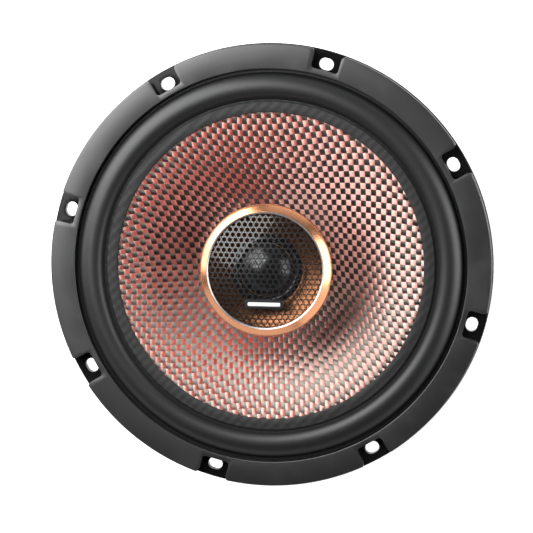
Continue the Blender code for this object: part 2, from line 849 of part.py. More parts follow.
def make_badge_plate():
    """A blank plate on the lower part of the grille."""
    shape = bmesh.new()
    bmesh.ops.create_cube(shape, size=1, matrix=Matrix.Diagonal((*BADGE_SIZE, 1)))
    upright = [edge for edge in shape.edges if edge.verts[0].co.xy == edge.verts[1].co.xy]
    bmesh.ops.bevel(shape, geom=upright, offset=0.9, segments=3, affect="EDGES")
    lean = Matrix.Rotation(math.asin(BADGE_FROM_AXIS / GRILLE_BALL_R), 4, "X")
    ball_z = GRILLE_RIM_Z + GRILLE_RISE - GRILLE_BALL_R
    off_grille = GRILLE_BALL_R + 1.5 * GAP + BADGE_SIZE[2] / 2
    place = Matrix.Translation((0, 0, ball_z)) @ lean @ Matrix.Translation((0, 0, off_grille))
    bmesh.ops.transform(shape, matrix=place, verts=shape.verts)
    add_object("badge_plate", shape, "black_plastic")


def make_tweeter_diaphragm():
    over = dome_curve(DOME_R - GAP, DOME_Z, DOME_RISE, 5)
    under = [(r, z - DOME_T) for r, z in over]
    turned("tweeter_dome", over + under[::-1], "silk", 32)
    former = sleeve(DOME_R - DOME_FORMER_T, DOME_R, DOME_FORMER_Z0, DOME_Z - DOME_T - 0.15)
    turned("tweeter_former", former, "coil_former", 32)
    wound = DOME_R + 0.1
    coil = sleeve(wound, wound + DOME_COIL_T, DOME_COIL_Z0, DOME_COIL_Z1)
    turned("tweeter_coil", coil, "coil_wire", 32)
    skin = 0.28
    roll = arc((DOME_ROLL_R, DOME_Z), DOME_ROLL_HALF, 180, 0, 4)
    over = [(DOME_R, DOME_Z), *roll, (DOME_LAND_R, DOME_Z)]
    under = [(r, z - skin) for r, z in over]
    turned("tweeter_surround", over + under[::-1], "silk", 32)


# Terminals, crossover and wiring
def make_terminals(basket):
    board = block(
        "terminal_board",
        (-BOARD_HALF_WIDTH, BOARD_FRONT_Y, BOARD_Z0),
        (BOARD_HALF_WIDTH, BOARD_FRONT_Y + BOARD_T, BOARD_Z1),
        "phenolic",
        bevel=0.3,
    )
    for x, word, half in ((TAB_X, "positive", 3.15), (-TAB_X, "negative", 2.4)):
        block(
            f"terminal_tab_{word}",
            (x - half, TAB_BACK_Y - TAB_T, TAB_TIP_Z),
            (x + half, TAB_BACK_Y, TAB_TOP_Z),
            "tinned_brass",
            bevel=0.15,
        )
    head = BOARD_FRONT_Y - GAP
    profile = [
        (0.0, head - 1.0),
        (1.6, head - 0.8),
        (2.3, head - 0.3),
        (2.3, head),
        (1.3, head),
        (1.3, RIVET_END_Y),
        (0.0, RIVET_END_Y),
    ]
    for number, z in enumerate(RIVET_HEIGHTS, 1):
        along_y = Matrix.Translation((0, 0, z)) @ Matrix.Rotation(math.radians(-90), 4, "X")
        turned(f"terminal_rivet_{number}", profile, "tinned_brass", 12, place=along_y)
        hole = ((0, RIVET_END_Y + 0.4, z), (0, BOARD_FRONT_Y - 2, z))
        combine(board, [rod(f"board_hole_{number}", *hole, RIVET_HOLE_R, None)], "DIFFERENCE")
        combine(basket, [rod(f"boss_hole_{number}", *hole, RIVET_HOLE_R, None)], "DIFFERENCE")


def eyelet_place(side):
    """The eyelet's upper centre under the cone, and the way down from the cone's back."""
    back = cone_curve(40, CONE_T)
    index = min(range(1, len(back) - 1), key=lambda i: abs(back[i][0] - EYELET_RING_R))
    r, z = back[index]
    before, after = back[index - 1], back[index + 1]
    slope = math.atan2(after[1] - before[1], after[0] - before[0])
    turn = math.atan2(-math.sqrt(EYELET_RING_R**2 - LEAD_X**2), side * LEAD_X)
    outward = Vector((math.cos(turn), math.sin(turn), 0))
    down = outward * math.sin(slope) - Vector((0, 0, math.cos(slope)))
    return outward * r + Vector((0, 0, z)) + down * GAP, down


def make_leads():
    """Tinsel leads from the terminal tabs through the windows to eyelets under the cone."""
    lug_y = TAB_BACK_Y + GAP + LEAD_R
    for side, word in ((1, "positive"), (-1, "negative")):
        top, down = eyelet_place(side)
        bottom = top + down * EYELET_T
        rod(f"lead_eyelet_{word}", top, bottom, EYELET_R, "tinned_brass")
        route = [
            (side * 9.7, lug_y, 57.0),
            (side * 10.4, -65.0, 56.6),
            (side * 10.8, -58.5, 54.8),
            (side * 10.8, -52.0, 51.0),
            (side * 10.6, -44.0, 47.2),
            (side * 10.2, -36.0, 46.4),
            bottom + down * 3.0,
            bottom + down * GAP,
        ]
        wire(f"tinsel_lead_{word}", route, LEAD_R, "silver_braid")


def make_crossover():
    end_x = CAPACITOR_HALF_LENGTH
    rod(
        "capacitor",
        (-end_x, CAPACITOR_Y, CAPACITOR_Z),
        (end_x, CAPACITOR_Y, CAPACITOR_Z),
        CAPACITOR_R,
        "cap_sleeve",
        24,
    )
    block(
        "capacitor_glue",
        (-6.0, -52.4, CAPACITOR_Z + CAPACITOR_R + 0.15),
        (6.0, -48.0, SHELF_Z - WALL_T - 0.15),
        "adhesive",
    )
    wire(
        "capacitor_lead",
        [
            (end_x + GAP, CAPACITOR_Y, CAPACITOR_Z),
            (end_x + 3.0, CAPACITOR_Y - 0.6, CAPACITOR_Z + 0.4),
            (16.2, -57.0, 36.0),
            (17.2, -63.5, 46.0),
            (16.6, -66.4, 54.0),
            (14.8, -66.6, 57.4),
            (12.6, TAB_BACK_Y + GAP + WIRE_R, 57.6),
        ],
        WIRE_R,
        "red_insulation",
    )


def make_tweeter_wires():
    """From the tweeter down the post's bore, along the groove in the yoke, and up to -Y."""
    floor_z = POT_Z + 0.75
    back_z = 2.6
    tails = {
        "positive": [
            (-0.2, -49.0, 7.0),
            (-8.0, -49.4, 16.0),
            (-12.8, -50.6, 24.0),
            (-12.4, -51.8, 28.8),
            (-CAPACITOR_HALF_LENGTH - GAP, CAPACITOR_Y, CAPACITOR_Z),
        ],
        "negative": [
            (-2.0, -49.0, 7.0),
            (-11.2, -49.6, 15.0),
            (-16.2, -54.0, 26.0),
            (-17.6, -62.0, 38.0),
            (-17.8, -65.6, 48.0),
            (-16.6, -66.6, 54.4),
            (-14.8, -66.6, 57.4),
            (-12.3, TAB_BACK_Y + GAP + WIRE_R, 57.6),
        ],
    }
    for side, word, colour in (
        (1, "positive", "red_insulation"),
        (-1, "negative", "black_insulation"),
    ):
        x = side * WIRE_X
        route = [
            (x, 0.3 - POT_R, POT_TOP_Z - 0.4),
            (x, 0.3 - POT_R, POT_Z + 5.4),
            (x, 0.4 - POT_R, floor_z + 2.1),
            (x, 1.0 - POT_R, floor_z + 0.6),
            (x, 2.5 - POT_R, floor_z),
            (x, -6.0, floor_z),
            (x, -1.4, floor_z - 0.3),
            (x, 0.0, 63.6),
            (x, 0.0, 40.0),
            (x, 0.0, 6.0),
            (x, -1.2, 2.9),
            (x, -6.0, back_z),
            (x, -44.0, back_z),
            (x, -47.6, back_z + 0.3),
        ]
        wire(f"tweeter_wire_{word}", route + tails[word], WIRE_R, colour)


def main():
    for item in list(bpy.data.objects):
        bpy.data.objects.remove(item)
    make_boot()
    make_yoke()
    top_plate = make_magnet_and_plate()
    basket = make_basket(top_plate)
    make_gasket()
    make_cone()
    make_surround()
    make_voice_coil()
    make_spider()
    make_post()
    make_housing()
    make_tweeter_motor()
    make_horn()
    make_tweeter_front()
    make_badge_plate()
    make_tweeter_diaphragm()
    make_terminals(basket)
    make_leads()
    make_crossover()
    make_tweeter_wires()


main()
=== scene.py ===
"""Shapes and finishes of a coaxial car speaker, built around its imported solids.

The speaker stands on its magnet. +Z is the axis of both drivers and points out of the front, and
the terminals are at -Y. Outlines are written in millimetres; every object is in metres.
"""

import json
import math

import bpy
import numpy as np
from mathutils import Matrix, Vector

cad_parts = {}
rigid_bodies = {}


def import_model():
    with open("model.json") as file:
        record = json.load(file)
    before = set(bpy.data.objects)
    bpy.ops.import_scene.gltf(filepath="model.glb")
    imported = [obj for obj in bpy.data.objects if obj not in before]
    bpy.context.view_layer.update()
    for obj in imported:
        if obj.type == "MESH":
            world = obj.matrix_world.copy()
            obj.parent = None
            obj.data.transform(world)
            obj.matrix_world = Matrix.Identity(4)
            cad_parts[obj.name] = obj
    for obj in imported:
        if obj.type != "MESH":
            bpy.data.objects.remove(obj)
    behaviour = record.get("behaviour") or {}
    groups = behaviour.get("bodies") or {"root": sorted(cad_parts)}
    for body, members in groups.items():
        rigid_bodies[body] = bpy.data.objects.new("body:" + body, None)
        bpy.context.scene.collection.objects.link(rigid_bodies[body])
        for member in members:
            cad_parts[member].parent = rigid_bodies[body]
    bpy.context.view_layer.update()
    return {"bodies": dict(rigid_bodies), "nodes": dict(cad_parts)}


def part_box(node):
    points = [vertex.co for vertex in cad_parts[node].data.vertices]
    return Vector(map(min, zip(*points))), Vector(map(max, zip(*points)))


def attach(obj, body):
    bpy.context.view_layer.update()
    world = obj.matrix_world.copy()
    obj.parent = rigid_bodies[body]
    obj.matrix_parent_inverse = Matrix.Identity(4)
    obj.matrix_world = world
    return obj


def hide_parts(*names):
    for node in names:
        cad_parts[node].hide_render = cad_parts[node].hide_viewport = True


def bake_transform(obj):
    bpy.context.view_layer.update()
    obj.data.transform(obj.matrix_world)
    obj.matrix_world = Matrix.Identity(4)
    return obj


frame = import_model()

bl_info = {"name": "Coaxial Speaker", "version": (1, 0, 0), "blender": (4, 5, 0),
    "location": "View3D > Sidebar > Speaker",
    "description": "Models a woven-cone coaxial car speaker piece by piece", "category": "Add Mesh"}

MM = 0.001
UPRIGHT = Matrix.Rotation(math.radians(90), 4, "X")
ROW_STEP = 0.8660254  # distance between rows of holes, in hole pitches
FRAME_BODY = "frame"
CONE_BODY = "woofer_diaphragm"
DOME_BODY = "tweeter_diaphragm"
NEEDED_BODIES = (FRAME_BODY, CONE_BODY, DOME_BODY)


def low(node, axis="z"):
    """A node's lowest coordinate on an axis, in millimetres."""
    return getattr(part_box(node)[0], axis) / MM


def high(node, axis="z"):
    """A node's highest coordinate on an axis, in millimetres."""
    return getattr(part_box(node)[1], axis) / MM


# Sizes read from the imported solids, in millimetres
FLANGE_R = high("basket", "x")
FRONT_Z = high("basket")
FLANGE_REAR_Z = FRONT_Z - 3.0
SEAT_Z = low("basket")
GASKET_R = high("gasket", "x")
GASKET_TOP = high("gasket")
CONE_RIM_Z = high("cone")
CONE_LAND_R = high("cone", "x")
SURROUND_R = high("surround", "x")
FORMER_R = high("voice_coil_former", "x")
FORMER_Z0 = low("voice_coil_former")
FORMER_Z1 = high("voice_coil_former")
BOOT_R = high("magnet_boot", "x")
BOOT_TOP = high("magnet_boot")
YOKE_R = high("yoke", "x")
YOKE_Z0 = low("yoke")
MOTOR_TOP = high("yoke")
PLATE_R = high("top_plate", "x")
PLATE_Z0 = low("top_plate")
POST_Z0 = low("tweeter_post")
POST_Z1 = high("tweeter_post")
HOUSING_R = high("tweeter_housing", "y")
HOUSING_Z0 = low("tweeter_housing")
HOUSING_Z1 = high("tweeter_housing")
BEZEL_R = high("tweeter_bezel", "x")
BEZEL_Z0 = low("tweeter_bezel")
BEZEL_TOP = high("tweeter_bezel")
GRILLE_R = high("tweeter_grille", "x")
GRILLE_TOP = high("tweeter_grille")
HORN_R = high("tweeter_horn", "x")
HORN_Z0 = low("tweeter_horn")
DOME_R = high("tweeter_dome", "x")
DOME_Z0 = low("tweeter_dome")
DOME_TOP = high("tweeter_dome")
DOME_LAND_R = high("tweeter_surround", "x")

# Shape details, in millimetres and degrees
SCREW_CIRCLE_R = 77.5
SCREW_COUNT = 8
SCREW_FIRST_DEG = 30.0
POCKET_INNER_R = 75.0
POCKET_HALF_WIDTH = 5.2
GASKET_INNER_R = 73.0
CONE_NECK_R = 16.9
CONE_NECK_Z = 44.0
CONE_EDGE_R = 57.0
CONE_NECK_SLOPE = 46.0
CONE_RIM_SLOPE = 12.0
ROLL_INNER_R = 62.6
ROLL_OUTER_R = 71.4
ROLL_HEIGHT = 3.7
SHELF_Z = 38.0
SHELF_INNER_R = 45.5
SHELF_OUTER_R = 52.0
WALL_TOP_R = 70.5
MOUTH_R = 66.0
LEG_COUNT = 6
LEG_HALF_DEG = 7.0
WINDOW_Z0 = 40.5
WINDOW_Z1 = 58.5
BEZEL_LIP_R = 20.9
BEZEL_EDGE_Z = 80.6
GRILLE_RIM_Z = 82.0
GRILLE_DOME_R = 20.5
GRILLE_RISE = GRILLE_TOP - GRILLE_RIM_Z
GRILLE_T = 0.4
GRILLE_BALL_R = (GRILLE_DOME_R**2 + GRILLE_RISE**2) / (2 * GRILLE_RISE)
BADGE_FROM_AXIS = 11.8

# One yarn's cross-section, from edge to edge and back, in half widths and in crown heights
RIBBON_SIDES = np.array([-1.0, -0.62, 0.0, 0.62, 1.0, 0.0, -1.0])
RIBBON_HEIGHTS = np.array([-1.0, -0.33, 0.0, -0.33, -1.0, -1.4, -1.0])
STEPS_PER_YARN = 4
# Drift of the cloth in plan: a share for each power of the two yarn numbers, first to fifth order
DRIFT_X = (49.3, -5.5, -0.7, 0.3, -2.6, 0.6, -1.0, 23.8, -6.7, 0.3)
DRIFT_X += (1.6, 1.1, 0.4, 1.2, 0.9, -1.0, -1.2, 1.3, -23.5, 5.5)
DRIFT_Y = (-1.3, 54.5, -2.6, 0.4, -0.5, -3.1, 21.1, 3.7, 0.1, 0.3)
DRIFT_Y += (2.1, -1.2, 2.3, -0.1, 2.8, -17.8, -0.2, 1.2, -6.7, 3.1)


# Settings ----------
def number_setting(name, default, unit, description, **limits):
    return bpy.props.FloatProperty(name=name, default=default, description=description, **unit, **limits)


def colour_setting(name, default, description):
    return bpy.props.FloatVectorProperty(name=name, default=default, description=description,
        subtype="COLOR")


LENGTH, ANGLE, POWER = {"unit": "LENGTH"}, {"subtype": "ANGLE"}, {"subtype": "POWER"}


class SpeakerWeaveSettings(bpy.types.PropertyGroup):
    """The cone's cloth."""

    crown: number_setting("Yarn crown", 0.0001, LENGTH, "How far a yarn's middle stands above its edges")
    crimp: number_setting("Crimp", 0.00011, LENGTH, "How far a yarn rises and sinks as it passes over and under")
    copper_yarn: colour_setting("Copper yarn", (0.46, 0.052, 0.043), "Colour of the yarns that run along X")
    dark_yarn: colour_setting("Dark yarn", (0.035, 0.031, 0.028), "Colour of the yarns that run along Y")


class SpeakerGrilleSettings(bpy.types.PropertyGroup):
    """The perforated grille over the tweeter."""

    pitch: number_setting("Hole pitch", 0.00215, LENGTH, "Distance between neighbouring holes' centres", min=0.001)
    hole: number_setting("Hole width", 0.00174, LENGTH, "Diameter of a hole")


class SpeakerFinishSettings(bpy.types.PropertyGroup):
    """Colours of the main finishes."""

    copper: colour_setting("Copper", (0.86, 0.37, 0.18), "Anodised bezel and horn")
    gasket: colour_setting("Gasket rubber", (0.013, 0.013, 0.0135), "Moulded ring on the flange")
    roll: colour_setting("Surround rubber", (0.009, 0.0093, 0.0098), "Half roll round the cone")
    paint: colour_setting("Basket paint", (0.007, 0.007, 0.0075), "Gloss paint on the basket")


class SpeakerStageSettings(bpy.types.PropertyGroup):
    """Camera and studio light."""

    distance: number_setting("Camera distance", 0.8, LENGTH, "From the camera to the flange")
    tilt: number_setting("Camera tilt", math.radians(8.6), ANGLE, "Angle between the view and the speaker's axis")
    heading: number_setting("Camera heading", math.radians(42.5), ANGLE,
        "Side the camera leans to, from +X towards +Y")
    key_power: number_setting("Key light", 3.95, POWER, "Power of the soft box on the upper left")
    side_power: number_setting("Side light", 2.9, POWER, "Power of the soft box on the right")
    low_power: number_setting("Low light", 1.12, POWER, "Power of the dim wide box in front of the terminals")


# Modelling helpers ----------
def pick(obj):
    """Makes an object the only selected one, and the active one."""
    bpy.ops.object.select_all(action="DESELECT")
    obj.select_set(True)
    bpy.context.view_layer.objects.active = obj
    return obj


def edit(obj):
    """Opens an object alone in edit mode with all of it selected."""
    pick(obj)
    bpy.ops.object.mode_set(mode="EDIT")
    bpy.ops.mesh.select_all(action="SELECT")


def close_edit():
    bpy.ops.object.mode_set(mode="OBJECT")


def close_outwards():
    """Turns the selected faces outwards and leaves edit mode."""
    bpy.ops.mesh.normals_make_consistent(inside=False)
    close_edit()


def name_it(obj, name):
    obj.name = name
    obj.data.name = name
    return obj


def draw_line(name, points):
    """A line of vertices in metres, grown point by point out of a plane's merged corners."""
    bpy.ops.object.select_all(action="DESELECT")
    bpy.ops.mesh.primitive_plane_add(size=MM, location=(0, 0, 0))
    obj = name_it(bpy.context.object, name)
    edit(obj)
    bpy.ops.mesh.merge(type="CENTER")
    places = [Vector(point) for point in points]
    bpy.ops.transform.translate(value=places[0])
    for here, there in zip(places, places[1:]):
        bpy.ops.mesh.extrude_vertices_move(TRANSFORM_OT_translate={"value": there - here})
    close_edit()
    return obj


def tidy_solid(obj, angle=35.0, merge=2e-6):
    """Merges doubles, turns the faces outwards and smooths all but the sharp edges."""
    edit(obj)
    bpy.ops.mesh.remove_doubles(threshold=merge)
    close_outwards()
    bpy.ops.object.shade_smooth_by_angle(angle=math.radians(angle))
    return obj


def turn(name, outline, steps=128, angle=35.0):
    """A turned piece from its (radius, height) outline; one that ends on the axis stays open there."""
    points = [(r * MM, 0.0, z * MM) for r, z in outline]
    if outline[0][0] > 0 or outline[-1][0] > 0:
        points.append(points[0])
    obj = draw_line(name, points)
    edit(obj)
    bpy.ops.mesh.spin(steps=steps, angle=math.tau, center=(0, 0, 0), axis=(0, 0, 1))
    close_edit()
    return tidy_solid(obj, angle)


def rounded(corners, steps=4, closed=True):
    """The outline through corners (a, b, radius), with each corner rounded off."""
    points = []
    count = len(corners)
    for i, (a, b, radius) in enumerate(corners):
        here = Vector((a, b))
        if radius <= 0 or (not closed and i in (0, count - 1)):
            points.append((a, b))
            continue
        before = Vector(corners[i - 1][:2]) - here
        after = Vector(corners[(i + 1) % count][:2]) - here
        half = before.angle(after) / 2
        run = radius / math.tan(half)
        most = min(before.length, after.length) * 0.49
        if run > most:
            run = most
            radius = run * math.tan(half)
        centre = here + (before.normalized() + after.normalized()).normalized() * (radius / math.sin(half))
        start = here + before.normalized() * run - centre
        end = here + after.normalized() * run - centre
        sweep = start.angle_signed(end)
        for step in range(steps + 1):
            turned = start.copy()
            turned.rotate(Matrix.Rotation(-sweep * step / steps, 2))
            points.append(tuple(centre + turned))
    return points


def arc(centre, radius, start_deg, end_deg, steps):
    """Points along an arc of an outline."""
    points = []
    for i in range(steps + 1):
        turned = math.radians(start_deg + (end_deg - start_deg) * i / steps)
        points.append((centre[0] + radius * math.cos(turned), centre[1] + radius * math.sin(turned)))
    return points


def circle(x, y, radius, angles):
    return [(x + radius * math.cos(t), y + radius * math.sin(t)) for t in angles]


def prism(name, outline, z0, z1, place=None):
    """A flat outline of (x, y) millimetres filled and extruded from z0 to z1."""
    obj = draw_line(name, [(x * MM, y * MM, z0 * MM) for x, y in outline])
    edit(obj)
    bpy.ops.mesh.edge_face_add()
    bpy.ops.mesh.extrude_region_move(TRANSFORM_OT_translate={"value": (0, 0, (z1 - z0) * MM)})
    bpy.ops.mesh.select_all(action="SELECT")
    close_outwards()
    if place:
        obj.data.transform(place)
    return obj


def apply_modifier(obj, kind, **settings):
    """Adds a modifier with its settings and applies it."""
    pick(obj)
    bpy.ops.object.modifier_add(type=kind)
    step = obj.modifiers[-1]
    for setting, value in settings.items():
        setattr(step, setting, value)
    bpy.ops.object.modifier_apply(modifier=step.name)
    return obj


def repeat(obj, count, step):
    """Repeats a sheet along a step and merges where the copies meet."""
    return apply_modifier(obj, "ARRAY", count=count, use_relative_offset=False,
        use_constant_offset=True, constant_offset_displace=step, use_merge_vertices=True,
        merge_threshold=1e-5)


def combine(obj, others, operation="DIFFERENCE"):
    """Cuts or joins other objects into one, and removes them."""
    for other in others:
        apply_modifier(obj, "BOOLEAN", object=other, operation=operation, solver="EXACT")
        bpy.data.objects.remove(other)
    return obj


def soften(obj, width, segments=2, angle=40.0):
    """Rounds a piece's sharp edges."""
    return apply_modifier(obj, "BEVEL", width=width * MM, segments=segments, limit_method="ANGLE",
        angle_limit=math.radians(angle), use_clamp_overlap=True)


def around(degrees):
    """A turn about the speaker's axis."""
    return Matrix.Rotation(math.radians(degrees), 4, "Z")


def place_piece(obj, material, body, nodes=()):
    """Gives a piece its finish, the body it moves with and the nodes it stands for."""
    if obj.data.materials:
        obj.data.materials[0] = material
    else:
        obj.data.materials.append(material)
    if body:
        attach(obj, body)
    if nodes:
        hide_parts(*nodes)
    return obj


def copy_piece(obj, name, place):
    """A copy with its own mesh, moved to its place."""
    mesh = obj.data.copy()
    made = bpy.data.objects.new(name, mesh)
    bpy.context.scene.collection.objects.link(made)
    mesh.name = name
    mesh.transform(place)
    return made


def vertices_of(obj):
    """A mesh's points as an array of millimetres."""
    points = np.empty(len(obj.data.vertices) * 3, np.float64)
    obj.data.vertices.foreach_get("co", points)
    return points.reshape(-1, 3) / MM


def set_vertices(obj, points):
    obj.data.vertices.foreach_set("co", (points * MM).astype(np.float32).ravel())
    obj.data.update()


def blend_between(obj, radius_still, radius_moving):
    """Bakes a round piece's place into its mesh and works out each point's share between two radii; the share is
    not stored.
    """
    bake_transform(obj)
    points = vertices_of(obj)
    radius = np.hypot(points[:, 0], points[:, 1])
    share = np.clip((radius - radius_still) / (radius_moving - radius_still), 0, 1)
    return obj


# Shader helpers ----------
class Signal:
    """A number that varies over a surface. Python's arithmetic on it adds Math nodes."""

    def __init__(self, tree, socket):
        self.tree = tree
        self.socket = socket

    def math(self, operation, *others, clamp=False):
        step = self.tree.nodes.new("ShaderNodeMath")
        step.operation = operation
        step.use_clamp = clamp
        for slot, value in zip(step.inputs, (self, *others)):
            feed(self.tree, slot, value)
        return Signal(self.tree, step.outputs[0])

    def __add__(self, other):
        return self.math("ADD", other)

    def __mul__(self, other):
        return self.math("MULTIPLY", other)

    def __sub__(self, other):
        return self.math("SUBTRACT", other)

    def __rsub__(self, other):
        return self.math("MULTIPLY_ADD", -1.0, other)

    __radd__ = __add__
    __rmul__ = __mul__

    def sine(self):
        return self.math("SINE")

    def ramp(self, start, end):
        """0 below start, 1 above end, smooth between."""
        step = self.tree.nodes.new("ShaderNodeMapRange")
        step.interpolation_type = "SMOOTHSTEP"
        feed(self.tree, step.inputs["Value"], self)
        step.inputs["From Min"].default_value = start
        step.inputs["From Max"].default_value = end
        return Signal(self.tree, step.outputs["Result"])


def feed(tree, slot, value):
    """Links a signal or a socket to a slot, or sets the slot's own value."""
    if isinstance(value, Signal):
        tree.links.new(value.socket, slot)
    elif isinstance(value, bpy.types.NodeSocket):
        tree.links.new(value, slot)
    elif slot.type == "RGBA" and len(value) == 3:
        slot.default_value = (*value, 1.0)
    else:
        slot.default_value = value


class Finish:
    """A procedural material and the nodes that make it."""

    def __init__(self, name, **sockets):
        self.material = bpy.data.materials.new(name)
        self.material.use_nodes = True
        self.tree = self.material.node_tree
        self.shader = self.tree.nodes["Principled BSDF"]
        self.set(**sockets)

    def set(self, **sockets):
        for name, value in sockets.items():
            feed(self.tree, self.shader.inputs[name.replace("_", " ")], value)
        return self

    def node(self, kind, settings=None, values=None, output=0):
        """A node of a kind with its settings and its slots' values; returns one output."""
        step = self.tree.nodes.new("ShaderNode" + kind)
        for name, value in (settings or {}).items():
            setattr(step, name, value)
        for slot, value in (values or {}).items():
            feed(self.tree, step.inputs[slot], value)
        return step.outputs[output]

    def signal(self, *args, **kwargs):
        return Signal(self.tree, self.node(*args, **kwargs))

    def place(self):
        return self.node("TexCoord", output="Object")

    def parts_of(self, vector):
        split = self.tree.nodes.new("ShaderNodeSeparateXYZ")
        self.tree.links.new(vector, split.inputs[0])
        return [Signal(self.tree, out) for out in split.outputs]

    def stretched(self, vector, scale):
        return self.node("Mapping", values={"Vector": vector, "Scale": scale})

    def noise(self, scale, detail=3.0, vector=None, roughness=0.5):
        return self.signal("TexNoise", values={"Vector": vector or self.place(), "Scale": scale,
            "Detail": detail, "Roughness": roughness})

    def mix(self, share, first, second):
        """A colour between two."""
        return self.node("Mix", {"data_type": "RGBA"}, {"Factor": share, 6: first, 7: second}, output=2)

    def bump(self, height, strength=0.5, depth=0.1, normal=None):
        """Relief of a height from 0 to 1, as deep as depth millimetres."""
        values = {"Height": height, "Strength": strength, "Distance": depth * MM}
        if normal is not None:
            values["Normal"] = normal
        relief = self.node("Bump", values=values)
        self.set(Normal=relief)
        return relief


def dim(colour, share):
    return tuple(channel * share for channel in colour)


FINISHES = {}


def finish(name):
    """The named finish's material, made the first time that it is asked for."""
    if name not in FINISHES:
        FINISHES[name] = MAKERS[name]().material
    return FINISHES[name]


def gasket_rubber():
    colour = bpy.context.scene.speaker_finish.gasket
    made = Finish("gasket_rubber", IOR=1.72)
    smudge = made.noise(70.0, 4.0).ramp(0.42, 0.72)
    grain = made.noise(5200.0, 2.0)
    base = made.mix(smudge, dim(colour, 0.86), dim(colour, 1.2))
    made.set(Base_Color=base, Roughness=0.33 + smudge * 0.07 + grain * 0.08)
    made.bump(grain, 0.35, 0.02)
    return made


def surround_rubber():
    colour = bpy.context.scene.speaker_finish.roll
    made = Finish("surround_rubber", IOR=1.52)
    x, y, _ = made.parts_of(made.place())
    radius = (x * x + y * y).math("SQRT") * 1000.0
    land = 1.0 - radius.ramp(61.2, 62.4)
    wave = math.pi / (2.05 * MM)
    cloth = (x * wave).sine() * (y * wave).sine() * 0.5 + 0.5
    grain = made.noise(3800.0, 2.0)
    dust = made.noise(900.0, 5.0).ramp(0.66, 0.8)
    made.set(Base_Color=made.mix(dust * 0.3 + land * 0.06, dim(colour, 0.7), dim(colour, 1.7)),
        Roughness=0.42 + grain * 0.06 + dust * 0.1 + land * 0.12)
    fine = made.bump(grain, 0.25, 0.015)
    made.bump(cloth * land, 0.7, 0.14, fine)
    return made


def basket_paint():
    colour = bpy.context.scene.speaker_finish.paint
    made = Finish("basket_paint", IOR=1.45, Specular_IOR_Level=0.14)
    peel = made.noise(700.0, 2.0)
    dust = made.noise(160.0, 4.0).ramp(0.5, 0.85)
    made.set(Base_Color=made.mix(dust, dim(colour, 0.8), dim(colour, 1.5)), Roughness=0.16 + dust * 0.1)
    made.bump(peel, 0.4, 0.12)
    return made


def yarn(name, colour, tip, gleam, level):
    """Resin-coated yarn: filaments run along the piece's own UV map, u along and v across."""
    made = Finish(name, IOR=2.9, Specular_Tint=gleam, Anisotropic=1.0)
    made.set(Specular_IOR_Level=level, Coat_Weight=0.05, Coat_Roughness=0.3)
    own = made.node("UVMap", {"uv_map": "strand"})
    streak = made.noise(1.0, 3.0, made.stretched(own, (0.3, 7.0, 1.0)))
    tone = made.signal("Attribute", {"attribute_name": "tone"}, output="Fac")
    share = (streak * 0.8 + tone * 0.35).ramp(0.3, 0.85)
    made.set(Base_Color=made.mix(share, colour, tip), Roughness=0.33 + streak * 0.16)
    made.bump(streak, 0.6, 0.12)
    return made


def copper_yarn():
    colour = tuple(bpy.context.scene.speaker_weave.copper_yarn)
    return yarn("copper_yarn", dim(colour, 0.8), (0.62, 0.1, 0.075), (1.0, 0.83, 0.74, 1.0), 0.9)


def dark_yarn():
    colour = tuple(bpy.context.scene.speaker_weave.dark_yarn)
    return yarn("dark_yarn", dim(colour, 0.2), (0.022, 0.019, 0.016), (1.0, 0.92, 0.79, 1.0), 0.35)


def cone_resin():
    made = Finish("cone_resin", IOR=1.5, Coat_Weight=0.3)
    mottle = made.noise(240.0, 4.0)
    made.set(Base_Color=made.mix(mottle, (0.012, 0.01, 0.009), (0.03, 0.022, 0.019)),
        Roughness=0.42 + mottle * 0.2)
    made.bump(mottle, 0.4, 0.08)
    return made


def polished_copper():
    colour = bpy.context.scene.speaker_finish.copper
    made = Finish("polished_copper", Metallic=1.0, Coat_Weight=0.5, Coat_Roughness=0.2)
    film = made.noise(45.0, 2.0)
    made.set(Base_Color=made.mix(film, dim(colour, 0.93), dim(colour, 1.03)),
        Roughness=0.24 + film * 0.05)
    made.bump(film, 0.05, 0.02)
    return made


def horn_copper_painted_shade():
    colour = bpy.context.scene.speaker_finish.copper
    # The bezel's copper dimmed to a third: painted shade on the dish that sits under the grille.
    return metal("horn_copper_painted_shade", dim(colour, 0.34), 0.28, 0.02, 1500.0)


def metal(name, colour, roughness, depth=0.02, scale=700.0):
    """Plated or bare metal with a faint uneven polish."""
    made = Finish(name, Metallic=1.0)
    cloud = made.noise(scale, 4.0)
    made.set(Base_Color=made.mix(cloud, dim(colour, 0.85), dim(colour, 1.08)),
        Roughness=cloud * 0.16 + (roughness - 0.08))
    made.bump(cloud, 0.3, depth)
    return made


def plain(name, colour, roughness, grain=1800.0, depth=0.03, contrast=0.25, **sockets):
    """Moulded, painted or sleeved stuff with a fine grain."""
    made = Finish(name, IOR=1.5, **sockets)
    fleck = made.noise(grain, 3.0)
    cloud = made.noise(grain / 12, 3.0)
    made.set(Base_Color=made.mix(cloud, dim(colour, 1 - contrast), dim(colour, 1 + contrast)),
        Roughness=cloud * 0.14 + fleck * 0.06 + (roughness - 0.1))
    made.bump(fleck, 0.4, depth)
    return made


def grille_paint():
    return plain("grille_paint", (0.014, 0.014, 0.015), 0.34, 1500.0, 0.02, Coat_Weight=0.5)


def dome_silk():
    made = Finish("dome_silk", IOR=1.55, Coat_Weight=0.3, Coat_Roughness=0.08)
    x, y, _ = made.parts_of(made.place())
    weave = (x * 12000.0).sine() * (y * 12000.0).sine() * 0.5 + 0.5
    cloud = made.noise(300.0, 3.0)
    made.set(Base_Color=made.mix(cloud, (0.008, 0.008, 0.009), (0.018, 0.018, 0.02)),
        Roughness=0.16 + cloud * 0.08)
    made.bump(weave, 0.5, 0.02)
    return made


